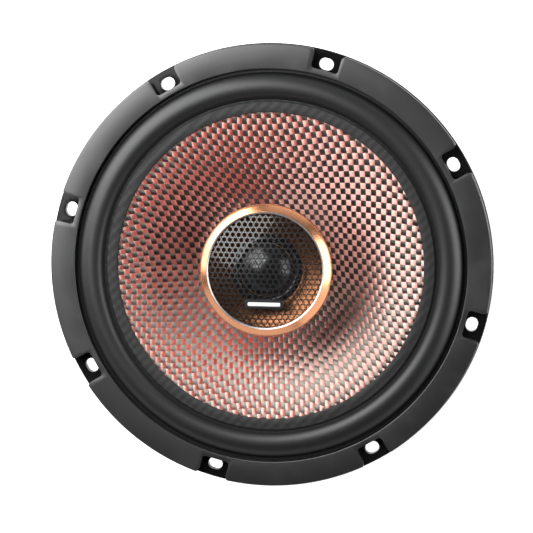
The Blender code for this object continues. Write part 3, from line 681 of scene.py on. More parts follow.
def coil_windings():
    made = Finish("coil_windings", Metallic=1.0)
    _, _, z = made.parts_of(made.place())
    turns = (z * (math.tau / 0.00022)).sine() * 0.5 + 0.5
    # Dark in the grooves between turns and copper on the crests: painted shade, on top of the bump's real relief.
    made.set(Base_Color=made.mix(turns, (0.3, 0.1, 0.04), (0.78, 0.34, 0.15)),
        Roughness=0.45 - turns * 0.15)
    made.bump(turns, 0.8, 0.08)
    return made


def spider_cloth():
    made = Finish("spider_cloth", IOR=1.45)
    x, y, _ = made.parts_of(made.place())
    weave = (x * 5200.0).sine() * (y * 5200.0).sine() * 0.5 + 0.5
    # Dark between the threads and light on them: painted shade, on top of the bump's real weave relief.
    made.set(Base_Color=made.mix(weave, (0.045, 0.038, 0.03), (0.14, 0.12, 0.095)),
        Roughness=0.85 - weave * 0.1)
    made.bump(weave, 0.8, 0.12)
    return made


def lead_braid():
    made = Finish("lead_braid", Metallic=1.0)
    own = made.node("UVMap", {"uv_map": "strand"})
    u, v, _ = made.parts_of(own)
    left = (u * 3.2 + v * 6.0).sine()
    right = (u * 3.2 - v * 6.0).sine()
    plait_relief_and_shade = (left * right) * 0.5 + 0.5
    # Dark between the plaited strands and bright on them: painted shade, on top of the bump's real relief.
    made.set(Base_Color=made.mix(plait_relief_and_shade, (0.2, 0.19, 0.18), (0.78, 0.77, 0.74)),
        Roughness=0.5 - plait_relief_and_shade * 0.15)
    made.bump(plait_relief_and_shade, 0.9, 0.12)
    return made


def phenolic_board():
    made = Finish("phenolic_board", IOR=1.5)
    fibre = made.noise(1.0, 4.0, made.stretched(made.place(), (500.0, 500.0, 3200.0)))
    made.set(Base_Color=made.mix(fibre, (0.1, 0.045, 0.02), (0.27, 0.13, 0.06)),
        Roughness=0.5 + fibre * 0.15)
    made.bump(fibre, 0.4, 0.04)
    return made


def floor_paper():
    made = Finish("floor_paper", Roughness=0.9)
    fleck = made.noise(40.0, 4.0)
    made.set(Base_Color=made.mix(fleck, (0.82, 0.82, 0.82), (0.86, 0.86, 0.86)),
        Emission_Color=(1.0, 1.0, 1.0), Emission_Strength=0.5)
    return made


MAKERS = {"gasket_rubber": gasket_rubber, "surround_rubber": surround_rubber,
    "boot_rubber": lambda: plain("boot_rubber", (0.012, 0.012, 0.0125), 0.56, 1400.0, 0.05),
    "basket_paint": basket_paint, "copper_yarn": copper_yarn, "dark_yarn": dark_yarn,
    "cone_resin": cone_resin, "polished_copper": polished_copper, "horn_copper_painted_shade": horn_copper_painted_shade,
    "badge_foil": lambda: plain("badge_foil", (0.78, 0.78, 0.78), 0.35, 1500.0, 0.01, 0.05),
    "bright_edge": lambda: metal("bright_edge", (0.5, 0.5, 0.5), 0.42), "grille_paint": grille_paint,
    "dome_silk": dome_silk, "zinc_plate": lambda: metal("zinc_plate", (0.4, 0.41, 0.42), 0.34, 0.03),
    "nickel_plate": lambda: metal("nickel_plate", (0.62, 0.61, 0.58), 0.25),
    "tinned_brass": lambda: metal("tinned_brass", (0.74, 0.72, 0.64), 0.28),
    "ferrite": lambda: plain("ferrite", (0.05, 0.05, 0.054), 0.62, 900.0, 0.06),
    "former_film": lambda: plain("former_film", (0.34, 0.16, 0.05), 0.34, 700.0, 0.02),
    "coil_windings": coil_windings, "spider_cloth": spider_cloth, "lead_braid": lead_braid,
    "phenolic_board": phenolic_board,
    "capacitor_sleeve": lambda: plain("capacitor_sleeve", (0.03, 0.07, 0.22), 0.34, 500.0, 0.03),
    "red_insulation": lambda: plain("red_insulation", (0.42, 0.02, 0.015), 0.42, 1200.0, 0.02),
    "black_insulation": lambda: plain("black_insulation", (0.016, 0.016, 0.017), 0.42, 1200.0),
    "black_plastic": lambda: plain("black_plastic", (0.018, 0.018, 0.019), 0.42, 2400.0, 0.03),
    "adhesive": lambda: plain("adhesive", (0.66, 0.62, 0.48), 0.5, 260.0, 0.2, 0.12),
    "floor_paper": floor_paper}


# Magnet system ----------
def make_magnet():
    lip_r, lip_z, inside = 31.0, 1.2, 45.3
    boot = turn("boot", rounded([(lip_r, 0, 0.4), (BOOT_R, 0, 2.3), (BOOT_R, BOOT_TOP, 0.9),
        (inside, BOOT_TOP, 0.3), (inside, lip_z, 0), (lip_r, lip_z, 0.4)], 5), 160)
    outlet = rounded([(-1.8, -BOOT_R - 3, 0), (1.8, -BOOT_R - 3, 0), (1.8, -42, 0), (-1.8, -42, 0)])
    combine(boot, [prism("outlet", outlet, YOKE_Z0 + 0.1, 4.0)])
    tidy_solid(boot)
    place_piece(boot, finish("boot_rubber"), FRAME_BODY, ["magnet_boot"])

    tail_hole, pole_r, plate_top = 3.3, 15.5, YOKE_Z0 + 5.5
    yoke = turn("back_plate", rounded([(tail_hole, MOTOR_TOP, 0), (tail_hole, 9.5, 0), (9.5, 9.5, 0.2),
        (9.5, YOKE_Z0, 0.5), (YOKE_R, YOKE_Z0, 1.2), (YOKE_R, plate_top, 0.4), (pole_r, plate_top, 0.6),
        (pole_r, MOTOR_TOP, 0.6)], 4), 128)
    groove = [(-2, -YOKE_R - 3), (2, -YOKE_R - 3), (2, -7.5), (-2, -7.5)]
    combine(yoke, [prism("groove", groove, 0, 4.0)])
    tidy_solid(yoke)
    place_piece(yoke, finish("zinc_plate"), FRAME_BODY, ["yoke"])

    plate = turn("front_plate", rounded([(18.3, PLATE_Z0, 0.3), (PLATE_R, PLATE_Z0, 0.4),
        (PLATE_R, MOTOR_TOP, 0.9), (18.3, MOTOR_TOP, 0.3)], 4), 128)
    place_piece(plate, finish("zinc_plate"), FRAME_BODY, ["top_plate"])


# Basket ----------
def screw_angles():
    return [SCREW_FIRST_DEG + 360 * i / SCREW_COUNT for i in range(SCREW_COUNT)]


def leg_angle(index):
    return -90 + 360 * index / LEG_COUNT


def make_basket():
    seat_top = SEAT_Z + 3.0
    basket = turn("basket_shell", rounded([(22.5, SEAT_Z, 0.4), (41.0, SEAT_Z, 0.8),
        (43.2, SEAT_Z + 1.6, 0.8), (44.6, 35.6, 1.2), (53.2, 35.6, 1.6),
        (WALL_TOP_R - 1.6, FLANGE_REAR_Z - 2.6, 1.5), (WALL_TOP_R, FLANGE_REAR_Z, 0),
        (FLANGE_R, FLANGE_REAR_Z, 0.5), (FLANGE_R, FRONT_Z, 0.5), (MOUTH_R, FRONT_Z, 0.8),
        (MOUTH_R, FLANGE_REAR_Z + 0.4, 0.8), (SHELF_OUTER_R, SHELF_Z, 0.8),
        (SHELF_INNER_R, SHELF_Z, 0.6), (SHELF_INNER_R - 1.4, SHELF_Z - 0.6, 0.8), (41.6, seat_top, 0.8),
        (22.5, seat_top, 0.4)], 3), 192)
    boss = prism("boss", rounded([(-8, -66.6, 0.8), (8, -66.6, 0.8), (8, -50, 0), (-8, -50, 0)]), 42.4, 54.4)
    combine(basket, [boss, *[leg_rib(i) for i in range(1, LEG_COUNT)]], "UNION")
    mouth = turn("mouth", [(30, 38.02), (52, 38.02), (65.98, 62.4), (65.98, 68), (30, 68)], 192)
    cutters = [mouth]
    cutters += [window(i) for i in range(LEG_COUNT)]
    cutters += [screw_slot(angle) for angle in screw_angles()]
    combine(basket, cutters)
    soften(basket, 0.25, 2, 50.0)
    tidy_solid(basket, 38)
    place_piece(basket, finish("basket_paint"), FRAME_BODY, ["basket"])
    make_basket_screws()


def leg_rib(index):
    """A pressed rib down the back of a leg."""
    side = [(49.5, 36.0), (55.5, 34.7), (WALL_TOP_R, 57.5), (WALL_TOP_R, 62.6), (66.6, 62.6)]
    return prism("rib", side, -1.3, 1.3, around(leg_angle(index)) @ UPRIGHT)


def window(index):
    """The opening between two legs, with rounded corners."""
    half = math.radians(180 / LEG_COUNT - LEG_HALF_DEG)
    wide = 2 * 62.0 * math.tan(half) / 2
    outline = rounded([(-wide, WINDOW_Z0, 3.0), (wide, WINDOW_Z0, 3.0), (wide, WINDOW_Z1, 3.0),
        (-wide, WINDOW_Z1, 3.0)], 5)
    made = prism("window", outline, -90.0, -46.0, UPRIGHT)
    points = vertices_of(made)
    points[:, 0] *= points[:, 1] / 62.0
    set_vertices(made, points)
    made.data.transform(around(leg_angle(index + 0.5) - 90))
    edit(made)
    close_outwards()
    return made


def screw_slot(angle):
    """A slot with round ends along the screw circle."""
    half_run, radius = 0.5, 2.2
    outline = []
    for end in (1, -1):
        for i in range(13):
            turned = math.radians(-90 + 15 * i)
            along = end * (half_run + radius * math.cos(turned))
            outline.append((SCREW_CIRCLE_R - end * radius * math.sin(turned), along))
    return prism("slot", outline, FLANGE_REAR_Z - 2, FRONT_Z + 2, around(angle))


def make_basket_screws():
    """Pan-head screws with a cross recess, on the basket's seat."""
    head = SEAT_Z + 3.3
    model = turn("screw_model", [(0, head + 2.0)] + rounded([(1.6, head + 1.98, 0),
        (3.3, head + 1.5, 1.1), (3.3, head, 0.2)], 4, False) + [(1.7, head), (1.7, MOTOR_TOP - 3.3),
        (1.2, MOTOR_TOP - 3.8), (0, MOTOR_TOP - 3.8)], 40)
    arms = []
    for quarter in (0, 90):
        slot = [(-1.9, -0.38), (1.9, -0.38), (1.9, 0.38), (-1.9, 0.38)]
        arms.append(prism("recess", slot, head + 0.9, head + 3, around(quarter)))
    combine(model, arms)
    tidy_solid(model)
    for i in range(4):
        number = f"basket_screw_{i + 1}"
        centre = (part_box(number)[0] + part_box(number)[1]) / 2
        place = Matrix.Translation((centre.x, centre.y, 0)) @ around(17 + 31 * i)
        screw = copy_piece(model, f"pan_screw_{i + 1}", place)
        place_piece(screw, finish("zinc_plate"), FRAME_BODY, [number])
    bpy.data.objects.remove(model)


def make_gasket():
    under = low("gasket")
    ring = turn("gasket_ring", rounded([(GASKET_INNER_R, under + 1.1, 0.1), (75.3, under + 1.1, 0),
        (75.3, under, 0), (GASKET_R, under, 0.1), (GASKET_R, GASKET_TOP, 0.55),
        (GASKET_INNER_R, GASKET_TOP, 0.3)], 4), 256)
    combine(ring, [gasket_pocket(angle) for angle in screw_angles()])
    soften(ring, 0.28, 2, 50.0)
    tidy_solid(ring, 38)
    place_piece(ring, finish("gasket_rubber"), FRAME_BODY, ["gasket"])


def gasket_pocket(angle):
    """The notch at a screw slot: rounded inside, flared where it opens at the rim."""
    side, inner = POCKET_HALF_WIDTH, POCKET_INNER_R
    outer = math.sqrt(GASKET_R**2 - side**2)
    flare = 1.3
    plan = rounded([(inner, -side, 1.3), (outer - flare, -side, 2.2), (outer + 0.7, -side - flare, 0),
        (outer + 5, -side - flare, 0), (outer + 5, side + flare, 0), (outer + 0.7, side + flare, 0),
        (outer - flare, side, 2.2), (inner, side, 1.3)], 5)
    return prism("pocket", plan, FRONT_Z - 1, GASKET_TOP + 1, around(angle))


# Cone, surround, coil former and spider ----------
def cone_profile(radius):
    """The cone's front height at each radius, in millimetres."""
    steep, flat = math.radians(CONE_NECK_SLOPE), math.radians(CONE_RIM_SLOPE)
    bend = (CONE_RIM_Z - CONE_NECK_Z) / (math.cos(flat) - math.cos(steep))
    slopes = np.linspace(steep, flat, 200)
    reach = (math.sin(steep) - np.sin(slopes)) / (math.sin(steep) - math.sin(flat))
    radii = CONE_NECK_R + (CONE_EDGE_R - CONE_NECK_R) * reach
    heights = CONE_NECK_Z + bend * (np.cos(slopes) - math.cos(steep))
    return np.interp(radius, radii, heights)


def make_cone():
    """The resin shell and the two sets of yarns that lie on it."""
    skin, shell_t = 0.3, 0.3
    radii = np.linspace(CONE_NECK_R, CONE_EDGE_R, 40)
    front = [(r, z - skin) for r, z in zip(radii, cone_profile(radii))]
    land = [(CONE_LAND_R, CONE_RIM_Z - skin), (CONE_LAND_R, CONE_RIM_Z - skin - shell_t)]
    back = [(r, z - shell_t) for r, z in reversed(front)]
    shell = turn("cone_shell", front + land + back, 160)
    place_piece(shell, finish("cone_resin"), CONE_BODY, ["cone"])
    for name, along, material in (("copper_yarns", 0, "copper_yarn"), ("dark_yarns", 1, "dark_yarn")):
        cloth = weave_set(name, along)
        set_filament_grain(cloth, along)
        place_piece(cloth, finish(material), CONE_BODY)


def weave_set(name, along):
    """All the yarns of one direction, each a closed ribbon that passes over and under."""
    weave = bpy.context.scene.speaker_weave
    crown, crimp = weave.crown / MM, weave.crimp / MM
    edge_r, neck_r = CONE_EDGE_R + 0.55, CONE_NECK_R + 0.5
    most_rows, most_run = (29, 33) if along == 0 else (33, 29)
    yarns, steps = 2 * most_rows + 1, 2 * most_run * STEPS_PER_YARN
    ring = len(RIBBON_SIDES)
    bpy.ops.object.select_all(action="DESELECT")
    bpy.ops.mesh.primitive_grid_add(x_subdivisions=steps, y_subdivisions=yarns * ring - 1, size=1)
    cloth = name_it(bpy.context.object, name)
    flat = vertices_of(cloth) * MM + 0.5
    step = np.rint(flat[:, 0] * steps).astype(int)
    column = np.rint(flat[:, 1] * (yarns * ring - 1)).astype(int)
    strand, side = column // ring, column % ring
    row = strand - most_rows
    run = step / STEPS_PER_YARN - most_run
    across = row + RIBBON_SIDES[side] * 0.492
    over = np.cos(math.pi * run) * np.where(row % 2 == 0, 1.0, -1.0) * (1 if along else -1)
    x, y = cloth_place(run, across) if along == 0 else cloth_place(across, run)
    radius = np.hypot(x, y)
    lift = crimp * over + RIBBON_HEIGHTS[side] * crown
    z = cone_profile(np.clip(radius, CONE_NECK_R, CONE_EDGE_R)) + lift
    set_vertices(cloth, np.column_stack([x, y, z]))
    drop_faces(cloth, strand, radius, neck_r, edge_r)
    return cloth


def set_filament_grain(cloth, along):
    """Turns the stretch of the yarns' gleam across their filaments.

    The gleam stretches round the middle of the texture space, so a far middle makes it straight.
    """
    cloth.data.use_auto_texspace = False
    cloth.data.texspace_location = (-100.0, 0.0, 0.0) if along == 0 else (0.0, -100.0, 0.0)
    cloth.data.texspace_size = (1.0, 1.0, 1.0)


def cloth_place(dark, copper):
    """Where two yarns cross in plan, in millimetres, from their numbers counted from the axis.

    Pressing the flat cloth into a cone drew the yarns near the axis inwards, which shows as a
    drift of the rows that grows with the fifth power of the distance at most.
    """
    a, b = dark * 2 / CONE_EDGE_R, copper * 2 / CONE_EDGE_R
    powers = [a**i * b ** (n - i) for n in range(1, 6) for i in range(n, -1, -1)]
    x = sum(share * power for share, power in zip(DRIFT_X, powers))
    y = sum(share * power for share, power in zip(DRIFT_Y, powers))
    return x, y


def drop_faces(cloth, strand, radius, neck_r, edge_r):
    """Cuts the grid into separate yarns, trims them to the cone, and closes their ends."""
    mesh = cloth.data
    count = len(mesh.polygons)
    corners = np.empty(count * 4, np.int32)
    mesh.polygons.foreach_get("vertices", corners)
    corners = corners.reshape(-1, 4)
    joins = strand[corners].min(1) != strand[corners].max(1)
    reach = radius[corners].mean(1)
    store_strand_map(cloth, strand)
    edit(cloth)
    bpy.ops.mesh.select_mode(type="FACE")
    bpy.ops.mesh.select_all(action="DESELECT")
    close_edit()
    mesh.polygons.foreach_set("select", joins | (reach > edge_r) | (reach < neck_r))
    bpy.ops.object.mode_set(mode="EDIT")
    bpy.ops.mesh.delete(type="FACE")
    bpy.ops.mesh.select_mode(type="VERT")
    bpy.ops.mesh.select_all(action="SELECT")
    bpy.ops.mesh.delete_loose()
    bpy.ops.mesh.select_all(action="SELECT")
    bpy.ops.mesh.remove_doubles(threshold=1e-6)
    bpy.ops.mesh.select_all(action="DESELECT")
    bpy.ops.mesh.select_non_manifold()
    bpy.ops.mesh.fill_holes(sides=8)
    bpy.ops.mesh.select_all(action="SELECT")
    close_outwards()
    bpy.ops.object.shade_smooth_by_angle(angle=math.radians(75))


def store_strand_map(cloth, strand):
    """A UV map with millimetres along and across each yarn, and a tone for each yarn."""
    mesh = cloth.data
    points = vertices_of(cloth)
    loops = np.empty(len(mesh.loops), np.int32)
    mesh.loops.foreach_get("vertex_index", loops)
    along = 0 if cloth.name == "copper_yarns" else 1
    layer = mesh.uv_layers.new(name="strand")
    pairs = np.column_stack([points[loops, along] + strand[loops] * 7.3, points[loops, 1 - along]])
    layer.data.foreach_set("uv", pairs.astype(np.float32).ravel())
    dice = np.random.default_rng(5 + along)
    tone = dice.random(strand.max() + 1)
    layer = mesh.attributes.new("tone", "FLOAT", "POINT")
    layer.data.foreach_set("value", tone[strand].astype(np.float32))


def surround_outline(skin):
    """The half roll and its two lands: the upper side, then back along the lower side."""
    inner_z, outer_z = CONE_RIM_Z + 0.3, FRONT_Z + 0.3
    middle = (ROLL_INNER_R + ROLL_OUTER_R) / 2
    half = (ROLL_OUTER_R - ROLL_INNER_R) / 2

    def roll(grow, foot_deg):
        points = []
        for i in range(29):
            turned = math.radians(180 - foot_deg - (180 - 2 * foot_deg) * i / 28)
            foot = inner_z + skin / 2 + (outer_z - inner_z) * i / 28
            rise = (ROLL_HEIGHT + grow) * math.sin(turned)
            points.append((middle + (half + grow) * math.cos(turned), foot + rise))
        return points

    dip = inner_z + skin - 0.5
    over = [(CONE_EDGE_R, inner_z + 0.1), (CONE_EDGE_R + 0.1, inner_z + skin - 0.1)]
    over += [(CONE_EDGE_R + 0.35, inner_z + skin), (59.2, inner_z + skin)]
    over += [(60.9, inner_z + skin), (61.3, dip + 0.1), (61.8, dip)]
    over += roll(skin / 2, 7)
    over += [(ROLL_OUTER_R + 0.7, outer_z + skin - 0.05), (SURROUND_R, outer_z + skin)]
    under = [(SURROUND_R, outer_z), (ROLL_OUTER_R, outer_z)]
    under += roll(-skin / 2, 0)[::-1]
    under += [(ROLL_INNER_R, inner_z), (CONE_EDGE_R, inner_z)]
    return over + under


def make_surround():
    roll = turn("surround_roll", surround_outline(0.8), 224)
    place_piece(roll, finish("surround_rubber"), None, ["surround"])
    blend_between(roll, ROLL_OUTER_R, ROLL_INNER_R - 0.6)


def make_former_and_spider():
    inner = FORMER_R - 0.4
    tube = turn("former_tube", rounded([(inner, FORMER_Z0, 0.1), (FORMER_R, FORMER_Z0, 0.1),
        (FORMER_R, FORMER_Z1, 0.15), (inner, FORMER_Z1, 0.15)], 2), 128)
    place_piece(tube, finish("former_film"), CONE_BODY, ["voice_coil_former"])

    cuff = FORMER_R + 0.3
    base, rise, skin, wave = SHELF_Z + 0.3, 1.4, 0.45, 1.0
    first = cuff + 1.2
    line = [(cuff, base + rise), (first, base + rise)]
    for i in range(1, 80):
        share = i / 80
        ripple = wave * math.sin(math.tau * 5 * share) * min(1.0, 12 * share, 12 * (1 - share))
        line.append((first + (SHELF_INNER_R - first) * share, base + rise * (1 - share) + ripple))
    line += [(SHELF_INNER_R + 0.3, base), (SHELF_OUTER_R - 0.6, base)]
    top = [(r, z + skin) for r, z in line]
    spider = turn("spider_disc", top + line[::-1], 96)
    place_piece(spider, finish("spider_cloth"), None, ["spider"])
    blend_between(spider, SHELF_INNER_R, first)


# Tweeter ----------
def make_tweeter_body():
    foot = MOTOR_TOP + 0.3
    post = turn("post", rounded([(1.7, POST_Z0, 0.1), (3.0, POST_Z0, 0.4), (3.0, foot, 0),
        (10.0, foot, 0.3), (10.0, foot + 2.0, 0.6), (7.7, foot + 3.4, 1.5), (6.5, foot + 6.0, 4.0),
        (6.5, POST_Z1, 0.4), (1.7, POST_Z1, 0.1)], 5), 72)
    place_piece(post, finish("zinc_plate"), FRAME_BODY, ["tweeter_post"])
    wall, knee, floor_r, bore = 1.3, HOUSING_Z0 + 4.6, 17.6, 1.9
    housing = turn("housing_cup", rounded([(bore, HOUSING_Z0, 0.1), (floor_r, HOUSING_Z0, 1.6),
        (HOUSING_R - 1.0, knee, 2.2), (HOUSING_R, knee + 2.4, 1.2), (HOUSING_R, HOUSING_Z1, 0.2),
        (HOUSING_R - wall, HOUSING_Z1, 0.2), (HOUSING_R - wall, knee + 2.8, 1.0),
        (floor_r - 0.6, HOUSING_Z0 + wall, 0.6), (bore, HOUSING_Z0 + wall, 0.1)], 5), 128)
    place_piece(housing, finish("black_plastic"), FRAME_BODY, ["tweeter_housing"])
    inner, ledge_r, ledge_z = 12.1, 13.1, 77.4
    dish = [(HORN_R, 80.3, 0.3), (20.6, 80.0, 1.0), (17.6, 79.0, 4.0), (15.2, 78.5, 3.0),
        (ledge_r, 78.3, 0.25), (ledge_r, ledge_z, 0), (inner, ledge_z, 0.1), (inner, HORN_Z0, 0),
        (HORN_R, HORN_Z0, 0.2)]
    horn = turn("horn_dish", rounded(dish, 5), 144)
    place_piece(horn, finish("horn_copper_painted_shade"), FRAME_BODY, ["tweeter_horn"])


def make_tweeter_front():
    seat = GRILLE_RIM_Z + 0.3
    bezel = turn("bezel_ring", rounded([(21.8, BEZEL_Z0, 0.1), (BEZEL_R, BEZEL_Z0, 0.6),
        (BEZEL_R, BEZEL_EDGE_Z, 0.9), (23.6, 81.35, 2.0), (21.5, BEZEL_TOP, 0.12),
        (BEZEL_LIP_R, BEZEL_TOP - 0.35, 0.1), (BEZEL_LIP_R, seat, 0.1), (21.8, seat, 0)], 6), 192)
    place_piece(bezel, finish("polished_copper"), FRAME_BODY, ["tweeter_bezel"])
    bezel.data.materials.append(finish("bright_edge"))
    for face in bezel.data.polygons:
        middle = face.center / MM
        if middle.xy.length < 21.45 and middle.z > seat:
            face.material_index = 1
    make_grille()
    make_badge()


def grille_height(radius):
    """The grille's upper height at each radius: a ball cap and a flat rim."""
    ball = np.sqrt(np.maximum(GRILLE_BALL_R**2 - np.minimum(radius, GRILLE_DOME_R) ** 2, 0))
    return GRILLE_TOP - GRILLE_BALL_R + ball


def make_grille():
    """A flat sheet of round holes in rows, trimmed to a disc and pressed into a dome."""
    grille = bpy.context.scene.speaker_grille
    pitch, hole = grille.pitch / MM, grille.hole / MM
    bpy.ops.object.select_all(action="DESELECT")
    bpy.ops.mesh.primitive_circle_add(vertices=12, radius=hole / 2 * MM, rotation=(0, 0, math.pi / 12))
    sheet = name_it(bpy.context.object, "grille_mesh")
    bpy.ops.object.transform_apply(location=False, rotation=True, scale=False)
    edit(sheet)
    bpy.ops.mesh.extrude_edges_move()
    close_edit()
    points = vertices_of(sheet)
    outer = points[12:].copy()
    turned = np.arctan2(outer[:, 1], outer[:, 0])
    sector = (turned - math.pi / 6) % (math.pi / 3) - math.pi / 6
    reach = pitch / 2 / np.cos(sector)
    points[12:, 0] = reach * np.cos(turned)
    points[12:, 1] = reach * np.sin(turned)
    set_vertices(sheet, points)
    repeat(sheet, 21, (pitch * MM, 0, 0))
    second = copy_piece(sheet, "second_row", Matrix.Translation((pitch / 2 * MM, pitch * MM * ROW_STEP, 0)))
    pick(sheet)
    second.select_set(True)
    bpy.ops.object.join()
    repeat(sheet, 12, (0, pitch * MM * ROW_STEP * 2, 0))
    points = vertices_of(sheet)
    points[:, 0] -= 10 * pitch
    points[:, 1] -= 12 * pitch * ROW_STEP
    set_vertices(sheet, points)
    edit(sheet)
    bpy.ops.mesh.remove_doubles(threshold=1e-5)
    bpy.ops.mesh.extrude_region_move(TRANSFORM_OT_translate={"value": (0, 0, GRILLE_T * MM)})
    bpy.ops.mesh.select_all(action="SELECT")
    close_outwards()
    disc = prism("disc", circle(0.0, 0.0, GRILLE_R, np.arange(0, 6.28, 0.0654)), -1, 2)
    combine(sheet, [disc], "INTERSECT")
    points = vertices_of(sheet)
    radius = np.hypot(points[:, 0], points[:, 1])
    points[:, 2] += grille_height(radius) - GRILLE_T
    set_vertices(sheet, points)
    soften(sheet, 0.09, 2, 60.0)
    tidy_solid(sheet, 50)
    place_piece(sheet, finish("grille_paint"), FRAME_BODY, ["tweeter_grille"])


def make_badge():
    """A blank plate with a bright inlaid bar, on the lower part of the grille."""
    lean = Matrix.Rotation(math.asin(BADGE_FROM_AXIS / GRILLE_BALL_R), 4, "X")
    centre = Matrix.Translation((0, 0, (GRILLE_TOP - GRILLE_BALL_R) * MM))
    out = centre @ lean @ Matrix.Translation((0, 0, (GRILLE_BALL_R + 0.45) * MM))
    plate = prism("badge", pill(14.2, 3.0, 0.9), 0, 0.6)
    combine(plate, [prism("inlay", pill(12.2, 1.7, 0.5), 0.4, 1.0)])
    soften(plate, 0.12, 2)
    plate.data.transform(out)
    tidy_solid(plate)
    place_piece(plate, finish("black_plastic"), FRAME_BODY, ["badge_plate"])
    bar = prism("badge_bar", pill(11.9, 1.4, 0.4), 0.38, 0.58)
    soften(bar, 0.06, 2)
    bar.data.transform(out)
    tidy_solid(bar)
    place_piece(bar, finish("badge_foil"), FRAME_BODY)


def pill(length, width, radius):
    x, y = length / 2, width / 2
    return rounded([(-x, -y, radius), (x, -y, radius), (x, y, radius), (-x, y, radius)], 4)


def ball_cap(edge_r, edge_z, rise, steps):
    """(radius, height) points of a ball cap from its crown to its edge."""
    ball = (edge_r**2 + rise**2) / (2 * rise)
    reach = math.asin(edge_r / ball)
    points = []
    for i in range(steps + 1):
        turned = reach * i / steps
        points.append((ball * math.sin(turned), edge_z + rise - ball * (1 - math.cos(turned))))
    return points


def make_tweeter_dome():
    skin = 0.3
    over = ball_cap(DOME_R, DOME_Z0 + skin, DOME_TOP - DOME_Z0 - skin, 18)
    under = [(r, z - skin) for r, z in over]
    dome = turn("dome", over + under[::-1], 96)
    place_piece(dome, finish("dome_silk"), DOME_BODY, ["tweeter_dome"])
    edge, skin = DOME_Z0 + 0.3, 0.28
    over = [(DOME_R + 0.3, edge), *arc((11.35, edge), 0.85, 180, 0, 12), (DOME_LAND_R, edge)]
    under = [(r, z - skin) for r, z in over]
    roll = turn("dome_roll", over + under[::-1], 96)
    place_piece(roll, finish("dome_silk"), None, ["tweeter_surround"])
    blend_between(roll, 12.2, 10.5)


# Terminals and wiring ----------
def make_terminals():
    for word in ("positive", "negative"):
        node = f"terminal_tab_{word}"
        lo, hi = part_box(node)
        x, half = (lo.x + hi.x) / 2 / MM, (hi.x - lo.x) / 2 / MM
        bottom, top = lo.z / MM, hi.z / MM
        outline = rounded([(x - half, bottom + 1.2, 0.3), (x - half * 0.62, bottom, 0.3),
            (x + half * 0.62, bottom, 0.3), (x + half, bottom + 1.2, 0.3), (x + half, top, 0.5),
            (x - half, top, 0.5)], 3)
        tab = prism(f"blade_{word}", outline, -hi.y / MM, -lo.y / MM, UPRIGHT)
        for height in (bottom + 4.2, top - 1.3):
            eye = circle(x, height, 0.75, np.arange(0, 6.28, 0.3927))
            combine(tab, [prism("eye", eye, 60, 75, UPRIGHT)])
        soften(tab, 0.12, 2)
        tidy_solid(tab)
        place_piece(tab, finish("tinned_brass"), FRAME_BODY, [node])
    for number in (1, 2):
        node = f"terminal_rivet_{number}"
        lo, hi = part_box(node)
        z, front, end = (lo.z + hi.z) / 2 / MM, -lo.y / MM, -hi.y / MM
        head = front - 1.0
        corners = [(1.4, front, 0.5), (2.3, head + 0.35, 0.5), (2.3, head, 0.1)]
        outline = [(0, front)] + rounded(corners, 4, False)
        outline += [(1.3, head), (1.3, end), (0, end)]
        rivet = turn(f"round_rivet_{number}", outline, 36)
        rivet.data.transform(Matrix.Translation((0, 0, z * MM)) @ UPRIGHT)
        place_piece(rivet, finish("tinned_brass"), FRAME_BODY, [node])


def smooth_route(route, steps=12):
    """Points along a smooth curve whose slope at each route point follows from its neighbours."""
    route = [Vector(p) for p in route]
    slopes = []
    for before, here, after in zip(route[:1] + route, route, route[1:] + route[-1:]):
        slopes.append((after - before) / ((here - before).length + (after - here).length))
    points = []
    for start, end, leave, arrive in zip(route, route[1:], slopes, slopes[1:]):
        reach = (end - start).length
        for i in range(steps):
            t = i / steps
            base = start + (end - start) * (3 * t**2 - 2 * t**3)
            lead = leave * (t - 2 * t**2 + t**3) + arrive * (t**3 - t**2)
            points.append(base + lead * reach)
    return points + [route[-1]]


def wire_piece(name, route, radius, sides=12):
    """A round wire as a mesh, with a UV map of millimetres along and turns around it."""
    line = smooth_route(route)
    curve = bpy.data.curves.new(name, "CURVE")
    curve.dimensions = "3D"
    curve.bevel_depth = radius * MM
    curve.bevel_resolution = (sides - 4) // 2
    curve.use_fill_caps = True
    spline = curve.splines.new("POLY")
    spline.points.add(len(line) - 1)
    for point, place in zip(spline.points, line):
        point.co = (*(place * MM), 1.0)
    holder = bpy.data.objects.new(name, curve)
    bpy.context.scene.collection.objects.link(holder)
    pick(holder)
    bpy.ops.object.convert(target="MESH")
    made = name_it(bpy.context.object, name)
    store_wire_map(made, line)
    return tidy_solid(made, 60)


def store_wire_map(made, line):
    """Millimetres along the wire and the angle round it, on a map of its own."""
    path = np.array([tuple(p) for p in line])
    run = np.concatenate([[0], np.cumsum(np.linalg.norm(np.diff(path, axis=0), axis=1))])
    points = vertices_of(made)
    nearest = np.argmin(((points[:, None] - path[None]) ** 2).sum(2), axis=1)
    off = points - path[nearest]
    turned = np.arctan2(off[:, 2], off[:, 0])
    loops = np.empty(len(made.data.loops), np.int32)
    made.data.loops.foreach_get("vertex_index", loops)
    layer = made.data.uv_layers.new(name="strand")
    pairs = np.column_stack([run[nearest], turned])[loops]
    layer.data.foreach_set("uv", pairs.astype(np.float32).ravel())


def make_wiring():
    lug_y = high("terminal_tab_positive", "y") + 0.3
    for side, word in ((1, "positive"), (-1, "negative")):
        make_lead(side, word, lug_y)
    make_tweeter_wires(lug_y)
    make_capacitor(lug_y)


